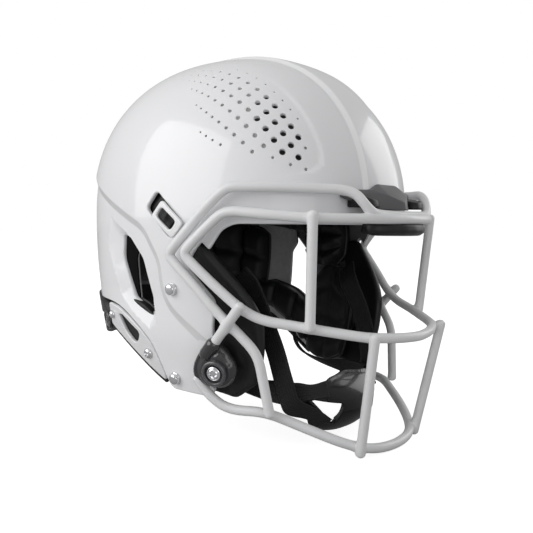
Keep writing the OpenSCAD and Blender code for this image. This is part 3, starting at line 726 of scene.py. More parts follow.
OUTER_PATH = [[0, -139.8, 174.4], [22, -138.8, 174.4], [36, -136.6, 175], [41.5, -135.4, 177.4],
              [46.5, -132.5, 182.9], [49.5, -128.8, 188.6], [54.5, -122.5, 191.4],
              [64, -114, 191.8], [78.6, -102, 192], [93, -86.6, 192.4], [103.8, -69, 192.3],
              [108.6, -59.5, 191.4], [114, -45.5, 177], [118.6, -22, 151.5],
              [119.2, -15, 143.5], [118, -20.5, 137.5], [113.6, -36.4, 122.4],
              [107.6, -50.6, 105.6], [99, -66.6, 88.9], [93, -78.8, 75.5], [86.2, -84.8, 33.2]]
EYE_PATH = [[0, -146.5, 172], [28, -142, 172], [57, -129.5, 171.8], [83.5, -112.5, 171.6],
            [98.5, -88, 173.5], [109, -60, 175.8], [113, -49.3, 166], [118.4, -33, 149.5],
            [118.8, -30, 144], [114.6, -41.5, 133.2], [108.6, -55.6, 120], [101.6, -68.4, 108],
            [95, -82, 100.4], [79.4, -104.6, 96.4], [57.8, -131, 91.4], [47.8, -141, 89.5],
            [24.5, -150.5, 87.8], [0, -154.5, 87]]
BOTTOM_PATH = [[0, -137.5, 3.6], [20, -136, 4.6], [36, -130.5, 7.0], [50, -119.5, 12.6],
               [62.7, -104.5, 20.4], [81.6, -78, 32.6], [92, -51, 31.6], [98.5, -38, 41],
               [102.6, -30, 53]]
POSTS = {"upper_post": ([84.8, -117.2, 173.6], [78.6, -112.6, 96.6]),
         "lower_post": ([49.8, -147, 90.6], [40, -131.8, 4.4]),
         "stub_bar": ([104.8, -42, 74], [107.8, -74, 110])}


FILLET, MEETING_REACH = 4.5, 14


def both_sides(half):
    half = np.array(half, float)
    return np.concatenate([flip(half[:0:-1]), half])


def build_guard():
    """Each wire is its own tube. Where two meet, the coating swells into the corner between them."""
    wires = {"outer_bar": (rounded(both_sides(OUTER_PATH), 10, 8), False),
             "eye_bar": (rounded(np.concatenate([EYE_PATH, flip(EYE_PATH)[-2:0:-1]]), 10, 8, True), True),
             "bottom_bar": (rounded(both_sides(BOTTOM_PATH), 12, 8), False)}
    for name, (a, b) in POSTS.items():
        wires[name + "_l"] = (np.array([a, b], float), False)
        wires[name + "_r"] = (flip([a, b]), False)
    made = {k: tube(path, WIRE_R, closed=closed) for k, (path, closed) in wires.items()}
    for k, (pts, faces, line) in made.items():
        gap = np.full(len(pts), 1e9)
        for j, (_, _, other) in made.items():
            if j != k:
                lo, hi = other.min(0) - MEETING_REACH, other.max(0) + MEETING_REACH
                some = ((pts > lo) & (pts < hi)).all(1)
                if some.any():
                    axis = nearest_point(pts[some], other)
                    g = np.linalg.norm(pts[some] - axis, axis=1)
                    gap[some] = np.minimum(gap[some], g - WIRE_R)
        grow = FILLET / 4 * np.clip(1 - gap / FILLET, 0, 1) ** 2
        pts = pts + unit(pts - nearest_point(pts, line)) * grow[:, None]
        put("guard_" + k, pts, faces, "guard", nodes=[k])


def nearest_point(q, line):
    best = np.full(len(q), 1e9)
    at = np.zeros_like(q)
    for s, e in zip(line[:-1], line[1:]):
        d = e - s
        t = np.clip(((q - s) @ d) / max(d @ d, 1e-9), 0, 1)
        c = s + t[:, None] * d
        g = np.linalg.norm(q - c, axis=1)
        at = np.where((g < best)[:, None], c, at)
        best = np.minimum(best, g)
    return at


# ---- plates, lathed pieces and lofts ----
def plate(name, outline, place, lo, hi, lip, look, size=3.0, holes=(), relief_of=None, **kw):
    """A wall between two heights over an outline in the flat, with rounded edges.

    place(q, height) takes points of the flat and their heights to their place.
    """
    a, b = outline.min(0) - size, outline.max(0) + size
    nx, ny = (np.ceil((b - a) / size)).astype(int)
    gx, gy = np.meshgrid(np.linspace(a[0], b[0], nx + 1), np.linspace(a[1], b[1], ny + 1), indexing="ij")
    q = np.stack([gx.ravel(), gy.ravel()], 1)
    i, j = np.meshgrid(np.arange(nx), np.arange(ny), indexing="ij")
    c = (i * (ny + 1) + j).ravel()
    tri = np.concatenate([np.stack([c, c + ny + 1, c + ny + 2], 1), np.stack([c, c + ny + 2, c + 1], 1)])

    def field(r):
        return np.min([-outside(r, outline)] + [outside(r, h) for h in holes], 0) / lip

    def same(r):
        return r

    q, tri = refine(q, tri, lambda r: np.where(np.abs(field(r)) < 1.6, max(0.5, lip * 0.55), 99), same, 4)
    s = field(q)
    for at in (1.0, 0.6, 0.3, 0.1, 0.0):
        q, tri, s = cut_level(q, tri, s, at, same)
    tri = tri[s[tri].min(1) >= -1e-9]
    tri, q, s = drop_unused(tri, q, s)
    t = np.clip(s, 0, 1)
    rise = np.zeros(len(q)) if relief_of is None else relief_of(q)
    drop = min(lip, (hi - lo) / 2) * quarter_round(t)
    top = place(q, hi + rise * t - drop)
    low = place(q, lo + drop)
    n = len(q)
    flat = np.full(n, float(lo))
    du, dv = (place(q + step, flat) - place(q - step, flat) for step in ([0.05, 0], [0, 0.05]))
    up = unit(np.cross(du, dv))
    if ((top - low) * up).sum() < 0:
        up = -up
    if (face_normals(low, tri) * up[tri[:, 0]]).sum() < 0:
        tri = tri[:, ::-1]
    faces = two_walls(tri, n)
    pts = np.concatenate([top, low])
    vn = point_normals(pts, faces)
    plain = t > 0.999
    if relief_of is None:
        vn[:n] = np.where(plain[:, None], up, vn[:n])
    vn[n:] = np.where(plain[:, None], -up, vn[n:])
    return put(name, pts, faces, look, shade=vn, **kw)


def side_place(q, h):
    return on_side(q[:, 0], q[:, 1], h)


def back_place(q, h):
    """Points on the back of the shell at x, z."""
    ax, ay = half_sizes(REAR_LEN, q[:, 1], h)
    y = WIDE_Y + ay * np.maximum(0, 1 - (np.abs(q[:, 0]) / ax) ** EN) ** (1 / EN)
    return np.stack([q[:, 0], y, q[:, 1]], 1)


def seat(y, z, out):
    """The frame of a piece seated on the left side: its x runs down, its y to the rear."""
    base = on_side(y, z)[0]
    n = normals(base[None])[0]
    tilt, turn = math.acos(n[2]), math.atan2(n[1], n[0])
    ex = np.array([math.cos(tilt) * math.cos(turn), math.cos(tilt) * math.sin(turn), -math.sin(tilt)])
    ey = np.array([-math.sin(turn), math.cos(turn), 0])
    return lambda p: base + n * out + p[:, :1] * ex + p[:, 1:2] * ey + p[:, 2:3] * n


def seat_place(to):
    return lambda q, h: to(np.concatenate([q, np.reshape(h, (-1, 1))], 1))


def dial(name, to, profile, look, spokes=None, n=72, **kw):
    """A turned piece: profile points (radius, height) from its foot to its middle."""
    prof = rounded(profile, 0.45, 4)
    m = len(prof) - 1
    r, h = np.append(np.repeat(prof[:-1, 0], n), 0), np.append(np.repeat(prof[:-1, 1], n), prof[-1, 1])
    ang = np.append(np.tile(np.linspace(0, 2 * math.pi, n, endpoint=False), m), 0)
    if spokes:
        h = h - spokes(r, ang)
    pts = np.stack([r * np.cos(ang), r * np.sin(ang), h], 1)
    top = [((m - 1) * n + c, (m - 1) * n + (c + 1) % n, m * n) for c in range(n)]
    return put(name, to(pts), skin_faces(m, n)[:-1] + top, look, **kw)


def loft(name, rings, look, cut_long=2.0, cut_round=1.2, **kw):
    """A skin over matching closed sections, with all its corners rounded, and closed ends."""
    rings = np.array([rounded(r, cut_round, 4, closed=True) for r in np.array(rings, float)])
    lines = np.stack([rounded(rings[:, c], cut_long, 4) for c in range(rings.shape[1])], 1)
    pts = lines.reshape(-1, 3)
    return put(name, pts, outward(pts, skin_faces(*lines.shape[:2]), -2), look, **kw)


# ---- rubber and plastic of the outside ----
BUMPER_GAP, BUMPER_PLINTH = 0.9, 1
# x, then height and depth of the bumper's upper edge, of its crease and of its foot
BUMPER = [[0, 197.3, 0.3, 184.3, 15.6, 178.6, 16.4], [13, 197.4, 0.6, 188.9, 9.8, 178.6, 11],
          [21, 193.2, 3.2, 191.2, 5.4, 178.8, 8.2], [27, 192.8, 3, 189.6, 4.6, 181.6, 5.4],
          [38, 192.6, 2.8, 189.6, 3.8, 183.6, 3.8], [47, 192.4, 2, 190, 2.4, 186.6, 2.4]]


def front_y(x, z, out):
    across = (1 - (np.abs(x) / (HALF_W + out)) ** EN) ** (EM / EN)
    up = (np.maximum(0, z - WIDE_Z) / (CROWN_H + out)) ** EM
    return WIDE_Y - (FRONT_LEN + out) * np.maximum(1e-4, across - up) ** (1 / EM)


def build_nose_bumper():
    half = np.array(BUMPER, float)
    rings = []
    for x, *ends in np.concatenate([half[:0:-1] * [-1, 1, 1, 1, 1, 1, 1], half]):
        crest = CREST_H * np.clip((CREST_W + CREST_SLOPE - abs(x)) / CREST_SLOPE, 0, 1)
        upper, crease, foot = (
            [[x, front_y(x, z, crest) - BUMPER_GAP - out, z] for out in (0, BUMPER_PLINTH + depth)]
            for z, depth in zip(ends[::2], ends[1::2]))
        rings.append([*upper, crease[1], *foot[::-1]])
    loft("nose_bumper_block", rings, "bumper", 2.2, 0.9, nodes=["nose_bumper"])


# x, front and top of the dark block on the bumper's wing that the guard's upper wire lies over
WIRE_CLIP = [[27, -133.5, 184.6], [32, -134.2, 185.4], [37, -133.6, 186.2], [41, -131.6, 186.6]]
WIRE_CLIP_MID, WIRE_CLIP_FOOT = 186.0, 179.8


def build_wire_clip(side):
    rings = []
    for x, front, top in WIRE_CLIP:
        back = float(front_y(x, WIRE_CLIP_MID, 0)) - 1.2
        rings.append([[x, back, top + 2.5], [x, front, top], [x, front - 1.0, WIRE_CLIP_FOOT],
                      [x, back, WIRE_CLIP_FOOT]])
    loft("wire_clip_", rings, "band", 2.0, 1.2, side=side)


LIP_SAG = 0.0105
LIP_X = (-36, -33, -24, -12, 0, 12, 24, 33, 36)
LIP_END = 1.2          # the lip's ends are this much smaller all round
TONGUE_W, TONGUE_Y, TONGUE_Z = 9, (-140, -130, -116), (161, 164.2)


def build_brow_lip():
    rings = []
    for x in LIP_X:
        f, e = LIP_SAG * x * x, LIP_END if abs(x) > 34 else 0
        rings.append([[x, f - 138 - e, 170 - e], [x, f - 149 + 2 * e, 168.4 - e],
                      [x, f - 150 + 2 * e, 162.6 + e], [x, f - 145.5 + e, 159.7 + e],
                      [x, f - 137 - e, 161 + e]])
    loft("brow_lip_rubber", rings, "band", 3.0, 1.6, nodes=["brow_lip"])
    w, (low, top) = TONGUE_W, TONGUE_Z
    tongue = [[[-w, y, low], [-w, y, top], [w, y, top], [w, y, low]] for y in TONGUE_Y]
    loft("brow_lip_tongue", tongue, "band", 3.0, 1.2)


CLIP_AT = (-45, 62)
CLIP_GAP, CLIP_T, CLIP_BOSS = 0.9, 9.0, 1.6
CLIP_LINE = rounded([[0, 20], [-8, 17], [-21, 8], [-23, 2], [-19, -6], [-6, -15], [4, -15], [11, -9],
                     [14, 0], [12, 13], [7, 19]], 5, 5, closed=True)
CLIP_HOLE = 4.9
LOOP_T, LOOP_ENDS = 2.0, (-1.5, 8.5)
WASHER = [[9.4, -1], [9.6, 0.6], [9.6, 3.4], [8.6, 4.1], [7.4, 4.1], [6.9, 3.3], [6.9, 0.4], [0.5, 0.4],
          [0, 0.4]]
# the head is in small steps, so that the star sunk into it is sharp
SIDE_SCREW = [[5.0, -0.9], [5.5, 0], [5.6, 1.0], [5.2, 1.6], [4.6, 1.9], [4.2, 1.6], [3.8, 2.2],
              [3.3, 2.6], [2.9, 2.8], [2.5, 2.85], [2.1, 2.9], [1.7, 2.9], [1.3, 2.9], [0.9, 2.9],
              [0.5, 2.9], [0, 2.9]]


def clip_ribs(q):
    r = np.linalg.norm(q, axis=1)
    ring = 1.3 * smooth((13.6 - r) / 1.2)
    groove = 0.7 * np.exp(-((r - 15.4) / 0.8) ** 2)
    strap = 0.8 * np.exp(-((q[:, 1] - 0.45 * q[:, 0] + 9) / 1.1) ** 2) * smooth((r - 12) / 3)
    return ring - groove - strap


def star(r, a):
    lobe = 2.5 + 0.75 * np.cos(4 * a)
    return 1.7 * smooth((lobe - r) / 0.5 + 0.5)


def build_side_clip(side):
    a = np.linspace(0, 2 * math.pi, 40, endpoint=False)
    hole = CLIP_HOLE * np.stack([np.cos(a), np.sin(a)], 1)
    plate("clip_strap_", CLIP_LINE, seat_place(seat(*CLIP_AT, CLIP_GAP)), 0, CLIP_T - 0.9, 3.4, "smoky",
          2.2, holes=[hole], relief_of=clip_ribs, nodes=["side_clip_"], side=side)
    foot, head = (np.array(v, float) for v in POSTS["stub_bar"])
    lean = unit(head - foot)
    pts, faces, _ = tube([foot + lean * end for end in LOOP_ENDS], WIRE_R + LOOP_T, 28, 1.0)
    put("clip_loop_", pts, faces, "smoky", side=side)
    dial("clip_washer_", seat(*CLIP_AT, CLIP_GAP + CLIP_T - 0.4), WASHER, "washer",
         nodes=["side_washer_"], side=side)
    dial("clip_screw_", seat(*CLIP_AT, CLIP_GAP + CLIP_T + CLIP_BOSS), SIDE_SCREW, "chrome", spokes=star,
         body="side_screw_", nodes=["side_screw_"], side=side)


STUD = [[5.0, 0], [5.0, 1.0], [4.4, 1.3], [4.3, 2.5], [4.0, 3.5], [3.1, 4.2], [1.8, 4.5], [0.6, 4.6],
        [0, 4.6]]
SCREW = [[4.2, 0], [4.2, 0.7], [3.8, 1.5], [3.0, 2.3], [1.8, 2.7], [0.6, 2.8], [0, 2.8]]
REAR_SCREW = np.array(SCREW) * [0.81, 1]
REAR_BOSS = [[7.6, -3], [8.0, -0.6], [7.4, 0.5], [5.6, 0.6], [4.8, -0.4], [2.4, -0.4], [1.6, 0.2],
             [0, 0.2]]


def cross_slot(r, a):
    across = np.minimum(np.abs(r * np.cos(a)), np.abs(r * np.sin(a)))
    return 0.8 * smooth((0.55 - across) / 0.3) * (r < 2.2)


def boss_notches(r, a):
    return 0.9 * smooth(np.cos(4 * a) * 3) * (r > 5) * (r < 7.5)


def build_studs(side):
    for name, y, z, profile, spokes in (
            ("snap_upper_", -9, 117.5, STUD, None), ("snap_lower_", -1.7, 48.2, STUD, None),
            ("strip_screw_", 25, 64.4, SCREW, cross_slot), ("rear_screw_", 70, 90.5, REAR_SCREW, cross_slot)):
        dial(name + "head_", seat(y, z, 0.0), profile, "chrome", spokes=spokes, nodes=[name], side=side)
    dial("rear_boss_", seat(84, 84, 0.6), REAR_BOSS, "smoky", spokes=boss_notches, slot="dark_rubber",
         side=side)


TEMPLE_FRAME = rounded([[-23.6, 166.4], [-19.5, 161], [-13.6, 154.4], [7.6, 170.8], [2, 177],
                        [-3.4, 183.2]], [3.5, 1, 3.5, 3.5, 1, 3.5], 5, closed=True)
TEMPLE_WINDOW = rounded([[-17.1, 167.2], [-3.3, 177.8], [2.2, 171.1], [-11.5, 160.5]], 3, 5, closed=True)
TEMPLE_FLOOR = rounded([[6.6, 191], [18, 176.4], [-1.5, 158.2], [-15, 173]], 4, 5, closed=True)


def temple_steps(q):
    along = (q @ [0.66, 0.75]) - 122
    return -0.5 * smooth(np.sin(along * 0.9) * 2)


def build_temple(side):
    plate("temple_frame_", TEMPLE_FRAME, side_place, 0.7, 3.2, 1.1, "white", 2.2, holes=[TEMPLE_WINDOW],
          body="temple_clip_", nodes=["temple_clip_"], side=side)
    plate("temple_floor_", TEMPLE_FLOOR, side_place, -7.0, -4.4, 0.8, "band", 1.6,
          relief_of=temple_steps, side=side)


WEB = rounded([[42, 96], [39, 106], [40, 138], [34, 147], [36, 160], [80, 166], [86, 140], [82, 102]],
              2.5, 4, closed=True)


def build_liner_web(side):
    """A stiff web behind the rear of each side opening: grey inside, and black towards the opening, which is
    painted shade.
    """
    plate("liner_web_", WEB, side_place, -12.0, -10.7, 0.5, "web", 3.0, side=side)
    # a black sheet on the web's face towards the opening: painted shade
    plate("liner_web_painted_shade_", WEB, side_place, -10.6, -9.4, 0.4, "dark", 3.0, side=side)


STRIP_HI = [[9.6, 47.5], [14.1, 60], [20.6, 73], [30.4, 82], [45.2, 91.5], [60.2, 98], [76, 100.1]]
STRIP_LO = [[10.4, 44.2], [17, 48], [26, 53.5], [36, 60], [48, 67.5], [60, 74.5], [75, 82]]
STRIP_WINDOW = np.array([[33.5, 79.6], [36.5, 72.6], [42, 71], [52, 78.8], [60.5, 91.6], [55, 92.2]])
PANE_MARGIN, EDGE_R, EDGE_DROP = 1.4, 1.9, 1.6


def build_neck(side):
    outline = rounded(STRIP_LO + STRIP_HI[::-1], 2.5, 4, closed=True)
    window = rounded(STRIP_WINDOW, 3, 4, closed=True)
    plate("neck_strip_pale_", outline, side_place, -3.4, -0.1, 1.2, "grey", 2.2, holes=[window],
          nodes=["neck_strip_"], side=side)
    wider = STRIP_WINDOW + unit(STRIP_WINDOW - STRIP_WINDOW.mean(0)) * PANE_MARGIN
    plate("neck_window_", rounded(wider, 3, 4, closed=True), side_place, -4.6, -3.0, 0.6, "band", 2.2,
          side=side)
    edge = on_side(*line_at(rounded(STRIP_LO, 3), np.linspace(0.02, 0.98, 40)).T, -3.0)
    pts, faces, _ = tube(edge - [0, 0, EDGE_DROP], EDGE_R, 12, 2.6)
    put("neck_edge_", pts, faces, "band", side=side)


REAR_LOBES = rounded([[-96, 79], [-96, 92], [-84, 97], [-70, 94], [-58, 88], [-30, 86], [30, 86],
                      [58, 88], [70, 94], [84, 97], [96, 92], [96, 79], [84, 72], [66, 68], [50, 66.5],
                      [-50, 66.5], [-66, 68], [-84, 72]], 5, 5, closed=True)
REAR_BAND = rounded([[-96, 89], [-93, 98], [-80, 105], [80, 105], [93, 98], [96, 89], [80, 88],
                     [-80, 88]], 4, 5, closed=True)


def lobe_step(q):
    return -1.0 * smooth((-outside(q, REAR_LOBES) - 4.5) / 2.0)


def over_crest(q):
    return 2.8 * smooth((26 - np.abs(q[:, 0])) / 3)


def build_rear_plate():
    plate("rear_bumper", REAR_LOBES, back_place, -4.4, -0.6, 1.4, "band", 2.6, relief_of=lobe_step,
          nodes=["rear_plate"])
    plate("rear_band", REAR_BAND, back_place, -6.0, -0.4, 0.6, "band", 2.6, relief_of=over_crest)


JAW_REAR = [[-26, 42], [-33, 56], [-42, 68], [-46, 80], [-46, 95], [-42, 108], [-30, 122], [-21, 136],
            [-28, 152]]
JAW_FRONT = [[-52, 37], [-70, 50], [-76, 75], [-77, 97], [-72, 110], [-62, 124], [-50, 138], [-38, 151]]
JAW_CUTS = [3, 6, 6, 6, 6, 6, 6, 6, 3, 3, 6, 6, 6, 6, 6, 6, 3]


def build_jaw_band(side):
    outline = rounded(JAW_REAR + JAW_FRONT[::-1], JAW_CUTS, 5, closed=True)
    ahead = rounded(JAW_FRONT + [[-200, 151], [-200, 38]], 4, 4, closed=True)

    def swell(q):
        t = np.abs(outside(q, ahead))
        return 1.6 * np.exp(-((t - 5) / 3.4) ** 2) - 0.9 * np.exp(-((t - 13) / 1.1) ** 2)

    plate("jaw_bumper_", outline, side_place, -9.5, -2.8, 3.0, "band", 2.6, relief_of=swell,
          nodes=["jaw_band_"], side=side)


# ---- chin cup and straps ----
CUP_T = 3.0
CUP_U, CUP_V = 0.9, 0.62          # millimetres of the flat for each degree of the bowl


def cup_place(q, h):
    a, b = np.radians(q[:, 0] / CUP_U), np.radians(q[:, 1] / CUP_V)
    h = np.asarray(h)
    return np.stack([(50 + h) * np.sin(a), -70 - (38 + h) * np.cos(a) * np.cos(b),
                     30 + 10 * np.sin(a) ** 2 + (27 + h) * np.sin(b)], 1)


CUP_TOP = [[0, 62], [30, 46], [53, 20], [75, 22]]
CUP_BOTTOM = [[0, -62], [40, -60], [53, -50], [64, -26], [75, -14]]
CUP_HOLE = [[-60, -2], [-24, 1], [-28, -40]]


def cup_flat(p):
    return np.array(p, float) * [CUP_U, CUP_V]


def build_chin_cup():
    half = cup_flat(CUP_TOP + CUP_BOTTOM[::-1])
    outline = rounded(np.concatenate([half, (half * [-1, 1])[-2:0:-1]]), 5, 5, closed=True)
    holes = [rounded(cup_flat(CUP_HOLE) * [s, 1], 4, 6, closed=True) for s in (1, -1)]

    def ribs(q):
        u = np.abs(q[:, 0]) / CUP_U
        seam = 0.7 * np.exp(-((u - 64) / 1.6) ** 2)
        hem = 0.35 * smooth((1.0 - np.abs(outside(q, outline) + 4.2)) / 0.8 + 0.5)
        return -seam - hem

    plate("chin_cup_shell", outline, cup_place, -CUP_T, 0, 1.3, "cup", 1.3, holes=holes,
          relief_of=ribs, body="chin_strap", nodes=["chin_cup"])


def on_cup(a, b):
    return cup_place(cup_flat([[a, b]]), 1.0)[0].tolist()


# the two long edges of each strap, from the cup to the lining
HIGH_EDGES = ([on_cup(44, -46), on_cup(58, -33), [55.2, -74, 24], [57.5, -71, 35], [61, -68, 50],
               [63, -63.5, 68], [65.5, -55, 90], [65.5, -46, 106], [66, -40, 115], [73, -35, 124]],
              [on_cup(34, -26), on_cup(52, -12), [54.5, -86, 38], [57.5, -86, 47], [61, -83.5, 60],
               [63, -79, 77], [65.5, -70, 98], [65.5, -61, 115], [66, -56, 125], [73, -50, 135]])
LOW_EDGES = ([on_cup(40, 8), on_cup(58, -2), on_cup(70, -10), [50.4, -79, 31.5], [53.4, -74, 31.5],
              [58, -63, 33], [62.5, -47, 36.5], [63.5, -27, 40.5], [63.5, -6, 46.5], [68, 8, 55],
              [77, 17, 65]],
             [on_cup(38, 36), on_cup(57, 22), on_cup(70, 22), [50.2, -79, 49], [53, -74, 49.5],
              [56.6, -63, 49.5], [58, -47, 48], [55, -27, 46], [55, -6, 50.5], [61, 8, 61],
              [77, 16, 76]])
STRAP_T = 2.0


STRAP_ROWS, STRAP_COLS = 70, 14


def build_strap(name, edges, side):
    """Flat webbing between two edge lines, with thicker woven borders."""
    t = np.linspace(0, 1, STRAP_ROWS + 1)
    a, b = (line_at(rounded(e, 12, 6), t) for e in edges)
    along = np.gradient((a + b) / 2, axis=0)
    n = unit(np.cross(b - a, along))
    width = np.linalg.norm(b - a, axis=1).mean()
    u = np.linspace(0, 1, STRAP_COLS + 1)
    u = np.concatenate([u, u[::-1]])
    face = np.repeat([1.0, -1.0], STRAP_COLS + 1)
    edge = np.minimum(u, 1 - u) * width
    border = 0.25 * np.exp(-((edge - 1.3) / 0.9) ** 2)
    half = STRAP_T / 2 * (np.sqrt(np.clip(edge / 0.8, 0, 1)) * 0.75 + border)
    pts = (a[:, None] * (1 - u)[None, :, None] + b[:, None] * u[None, :, None]
           + n[:, None] * (face * half)[None, :, None])
    pts = pts.reshape(-1, 3)
    uv = np.stack([np.tile(u * width, len(t)), np.repeat(t * length_of((a + b) / 2), len(u))], 1)
    o = put(name + "web_", pts, outward(pts, skin_faces(len(t), len(u)), -2), "webbing", body=None,
            nodes=[name], side=side, uv=uv)
    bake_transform(o)


# ---- padding ----
PAD_OUT = -4.2
SIDE_OUT = -7.2
PRESSURE, SIM_FRAMES, SWELL_CAP = 4.0, 20, 4.5
PIPING_R, PIPING_OUT = 1.1, 0.3


def side_surface(lo, hi, out, thick):
    lo, hi = np.array(lo, float), np.array(hi, float)

    def at(s, t, w):
        u, v = (s + 1) / 2, (t + 1) / 2
        q = line_at(lo, u) * (1 - v[:, None]) + line_at(hi, u) * v[:, None]
        o = out - w * thick
        return np.stack([side_x(q[:, 0], q[:, 1], o), q[:, 0], q[:, 1]], 1)
    return at


def dome_surface(x0, x1, a0, a1, out, thick):
    def at(s, t, w):
        x = x0 + (x1 - x0) * (s + 1) / 2
        a = a0 + (a1 - a0) * (t + 1) / 2
        return on_arc(x, a, out - w * thick)
    return at


def back_surface(x1, z0, z1, out, thick):
    def at(s, t, w):
        q = np.stack([x1 * s, z0 + (z1 - z0) * (t + 1) / 2], 1)
        return back_place(q, out - w * thick)
    return at


def cup_surface(a1, out, thick):
    top, low = np.array(CUP_TOP, float), np.array(CUP_BOTTOM, float)

    def at(s, t, w):
        a = a1 * s
        hi = np.interp(np.abs(a), top[:, 0], top[:, 1]) * 0.85
        lo = np.interp(np.abs(a), low[:, 0], low[:, 1]) * 0.85
        b = (hi + lo) / 2 + (hi - lo) / 2 * t
        return cup_place(np.stack([a * CUP_U, b * CUP_V], 1), out - w * thick)
    return at


# heights of the rings between a cushion's front and back, and the size of the front, rings and back
RING_HEIGHTS, BLOCK_SIZES = (0.62, 0.46, 0.3, 0.14), (0.965, 0.985, 0.975, 0.985, 0.98, 0.95)
SIDE_BOW = 0.17
CROWN, RIM_FALL, SEAM_DIP = 0.93, 0.22, 0.2            # parts of a cushion's thickness


class Cushion:
    """A closed pad cover on a grid: the back is fixed, and the sewn lines of the front are held down."""

    def __init__(self, name, surface, size, seams_s, seams_t, nodes, side=1, body="helmet", look="foam",
                 step=5.0):
        self.name, self.nodes, self.side, self.body, self.look = name, nodes, side, body, look
        nu, nv = (max(6, int(v / step)) for v in size)
        self.nu, self.nv = nu, nv
        s, t = np.meshgrid(np.linspace(-1, 1, nu + 1), np.linspace(-1, 1, nv + 1), indexing="ij")
        s, t = s.ravel(), t.ravel()
        lines_s = np.array([int(round((v + 1) / 2 * nu)) for v in seams_s])
        lines_t = np.array([int(round((v + 1) / 2 * nv)) for v in seams_t])
        iu, iv = np.divmod(np.arange(len(s)), nv + 1)
        sewn = np.isin(iu, lines_s) | np.isin(iv, lines_t)
        rim = np.maximum(np.abs(s), np.abs(t))
        crown = CROWN - RIM_FALL * rim ** 6 - np.where(sewn, SEAM_DIP, 0)
        edge = self.edge_ring()
        blocks = [(s, t, crown)] + [(s[edge], t[edge], np.full(len(edge), w)) for w in RING_HEIGHTS]
        pts = []
        for (bs, bt, w), pull in zip(blocks + [(s, t, 0 * s)], BLOCK_SIZES):
            rs, rt = (a * np.sqrt(1 - SIDE_BOW * b ** 2) for a, b in ((bs, bt), (bt, bs)))
            pts.append(surface(rs * pull, rt * pull, w))
        self.pts = np.concatenate(pts)
        n = len(s)
        self.n_face, self.n_ring = n, len(edge)
        self.pinned = np.zeros(len(self.pts), bool)
        self.pinned[-n:] = True
        self.pinned[:n] = sewn & (rim < 0.999)
        self.pinned[n + 2 * len(edge):n + 3 * len(edge)] = True
        self.faces = self.skin(edge)

    def edge_ring(self):
        nu, nv = self.nu, self.nv
        one = [i * (nv + 1) for i in range(nu + 1)] + [nu * (nv + 1) + j for j in range(1, nv + 1)]
        two = [i * (nv + 1) + nv for i in range(nu - 1, -1, -1)] + list(range(nv - 1, 0, -1))
        return np.array(one + two)

    def skin(self, edge):
        nu, nv, n, k = self.nu, self.nv, self.n_face, self.n_ring
        cells = [(i * (nv + 1) + j, (i + 1) * (nv + 1) + j, (i + 1) * (nv + 1) + j + 1, i * (nv + 1) + j + 1)
                 for i in range(nu) for j in range(nv)]
        back = len(self.pts) - n
        rings = [edge] + [n + r * k + np.arange(k) for r in range(4)] + [back + edge]
        faces = cells + [tuple(back + v for v in f[::-1]) for f in cells]
        for a, b in zip(rings[:-1], rings[1:]):
            faces += [(a[c], b[c], b[(c + 1) % k], a[(c + 1) % k]) for c in range(k)]
        return outward(self.pts, faces, len(faces))

    def make(self):
        self.obj = put(self.name, self.pts, self.faces, self.look, self.body, self.nodes, side=self.side)

    def add_cloth(self):
        group = self.obj.vertex_groups.new(name="sewn")
        group.add([int(i) for i in np.nonzero(self.pinned)[0]], 1.0, "REPLACE")
        cloth = self.obj.modifiers.new("cover", "CLOTH")
        st = cloth.settings
        st.vertex_group_mass = "sewn"
        st.use_pressure = True
        st.uniform_pressure_force = PRESSURE
        st.effector_weights.gravity = 0
        st.quality = 6

    def settle(self, co):
        """Takes the simulated places, no point further from its start than the cap."""
        me = self.obj.data
        start = np.array([v.co for v in me.vertices]) / MM
        move = co / MM - start
        far = np.linalg.norm(move, axis=1, keepdims=True)
        move *= np.minimum(1, SWELL_CAP / np.maximum(far, 1e-6))
        me.vertices.foreach_set("co", ((start + move) * MM).ravel())
        me.update()

    def finish(self):
        self.obj.modifiers.new("smooth", "SUBSURF").levels = 2
        self.obj.modifiers["smooth"].render_levels = 2
        co = np.array([v.co for v in self.obj.data.vertices]) / MM - [0, SHIFT_Y, 0]
        n, k = self.n_face, self.n_ring
        ring = co[n + 2 * k:n + 3 * k]
        ring = ring + unit(ring - ring.mean(0)) * PIPING_OUT
        pts, faces, _ = tube(ring, PIPING_R, 8, 2.6, closed=True)
        put(self.name + "_piping", pts, faces, "piping", self.body, slot=LOOKS[self.look][1])


# what lies on the shell's side: name, lower and upper line, how far in, thickness, length and height,
# seams across and along, whether it stands for a CAD pad, its look, and the spacing of its grid
SIDE_PADS = [
    ("side", [[-26, 168], [-8, 160], [12, 158], [34, 160], [56, 166]],
     [[-20, 204], [-4, 214], [16, 219], [38, 216], [56, 206]], SIDE_OUT, 22, (84, 52),
     [-0.5, 0, 0.5], [], True, "foam", 5.0),
    ("ear", [[62, 106], [73, 108], [84, 110]], [[62, 156], [73, 162], [84, 164]], SIDE_OUT, 22,
     (34, 48), [], [0], True, "foam", 4.0),
    ("jaw", [[-38, 46], [-24, 42], [-8, 42], [6, 46]], [[-40, 112], [-24, 128], [-8, 130], [6, 118]],
     SIDE_OUT, 20, (46, 80), [0], [-0.55, 0, 0.5], True, "knit", 4.5),
    ("temple", [[-27, 138], [-16, 128], [4, 128], [14, 138]],
     [[-26, 170], [-12, 178], [8, 176], [20, 170]], SIDE_OUT + 2, 27, (40, 40), [0], [-0.4, 0.3],
     False, "foam", 3.5),
    ("nape_side", [[84, 90], [95, 91], [108, 92]], [[84, 168], [95, 172], [108, 172]], SIDE_OUT, 24,
     (46, 66), [], [-0.35, 0.3], False, "foam", 5.0),
    ("neck", [[9, 50], [18, 62], [34, 74], [58, 88], [80, 92]],
     [[0, 86], [10, 91], [30, 103], [54, 110], [80, 105]], SIDE_OUT + 2, 22, (84, 28), [-0.4, 0.2], [],
     False, "foam", 4.0)]


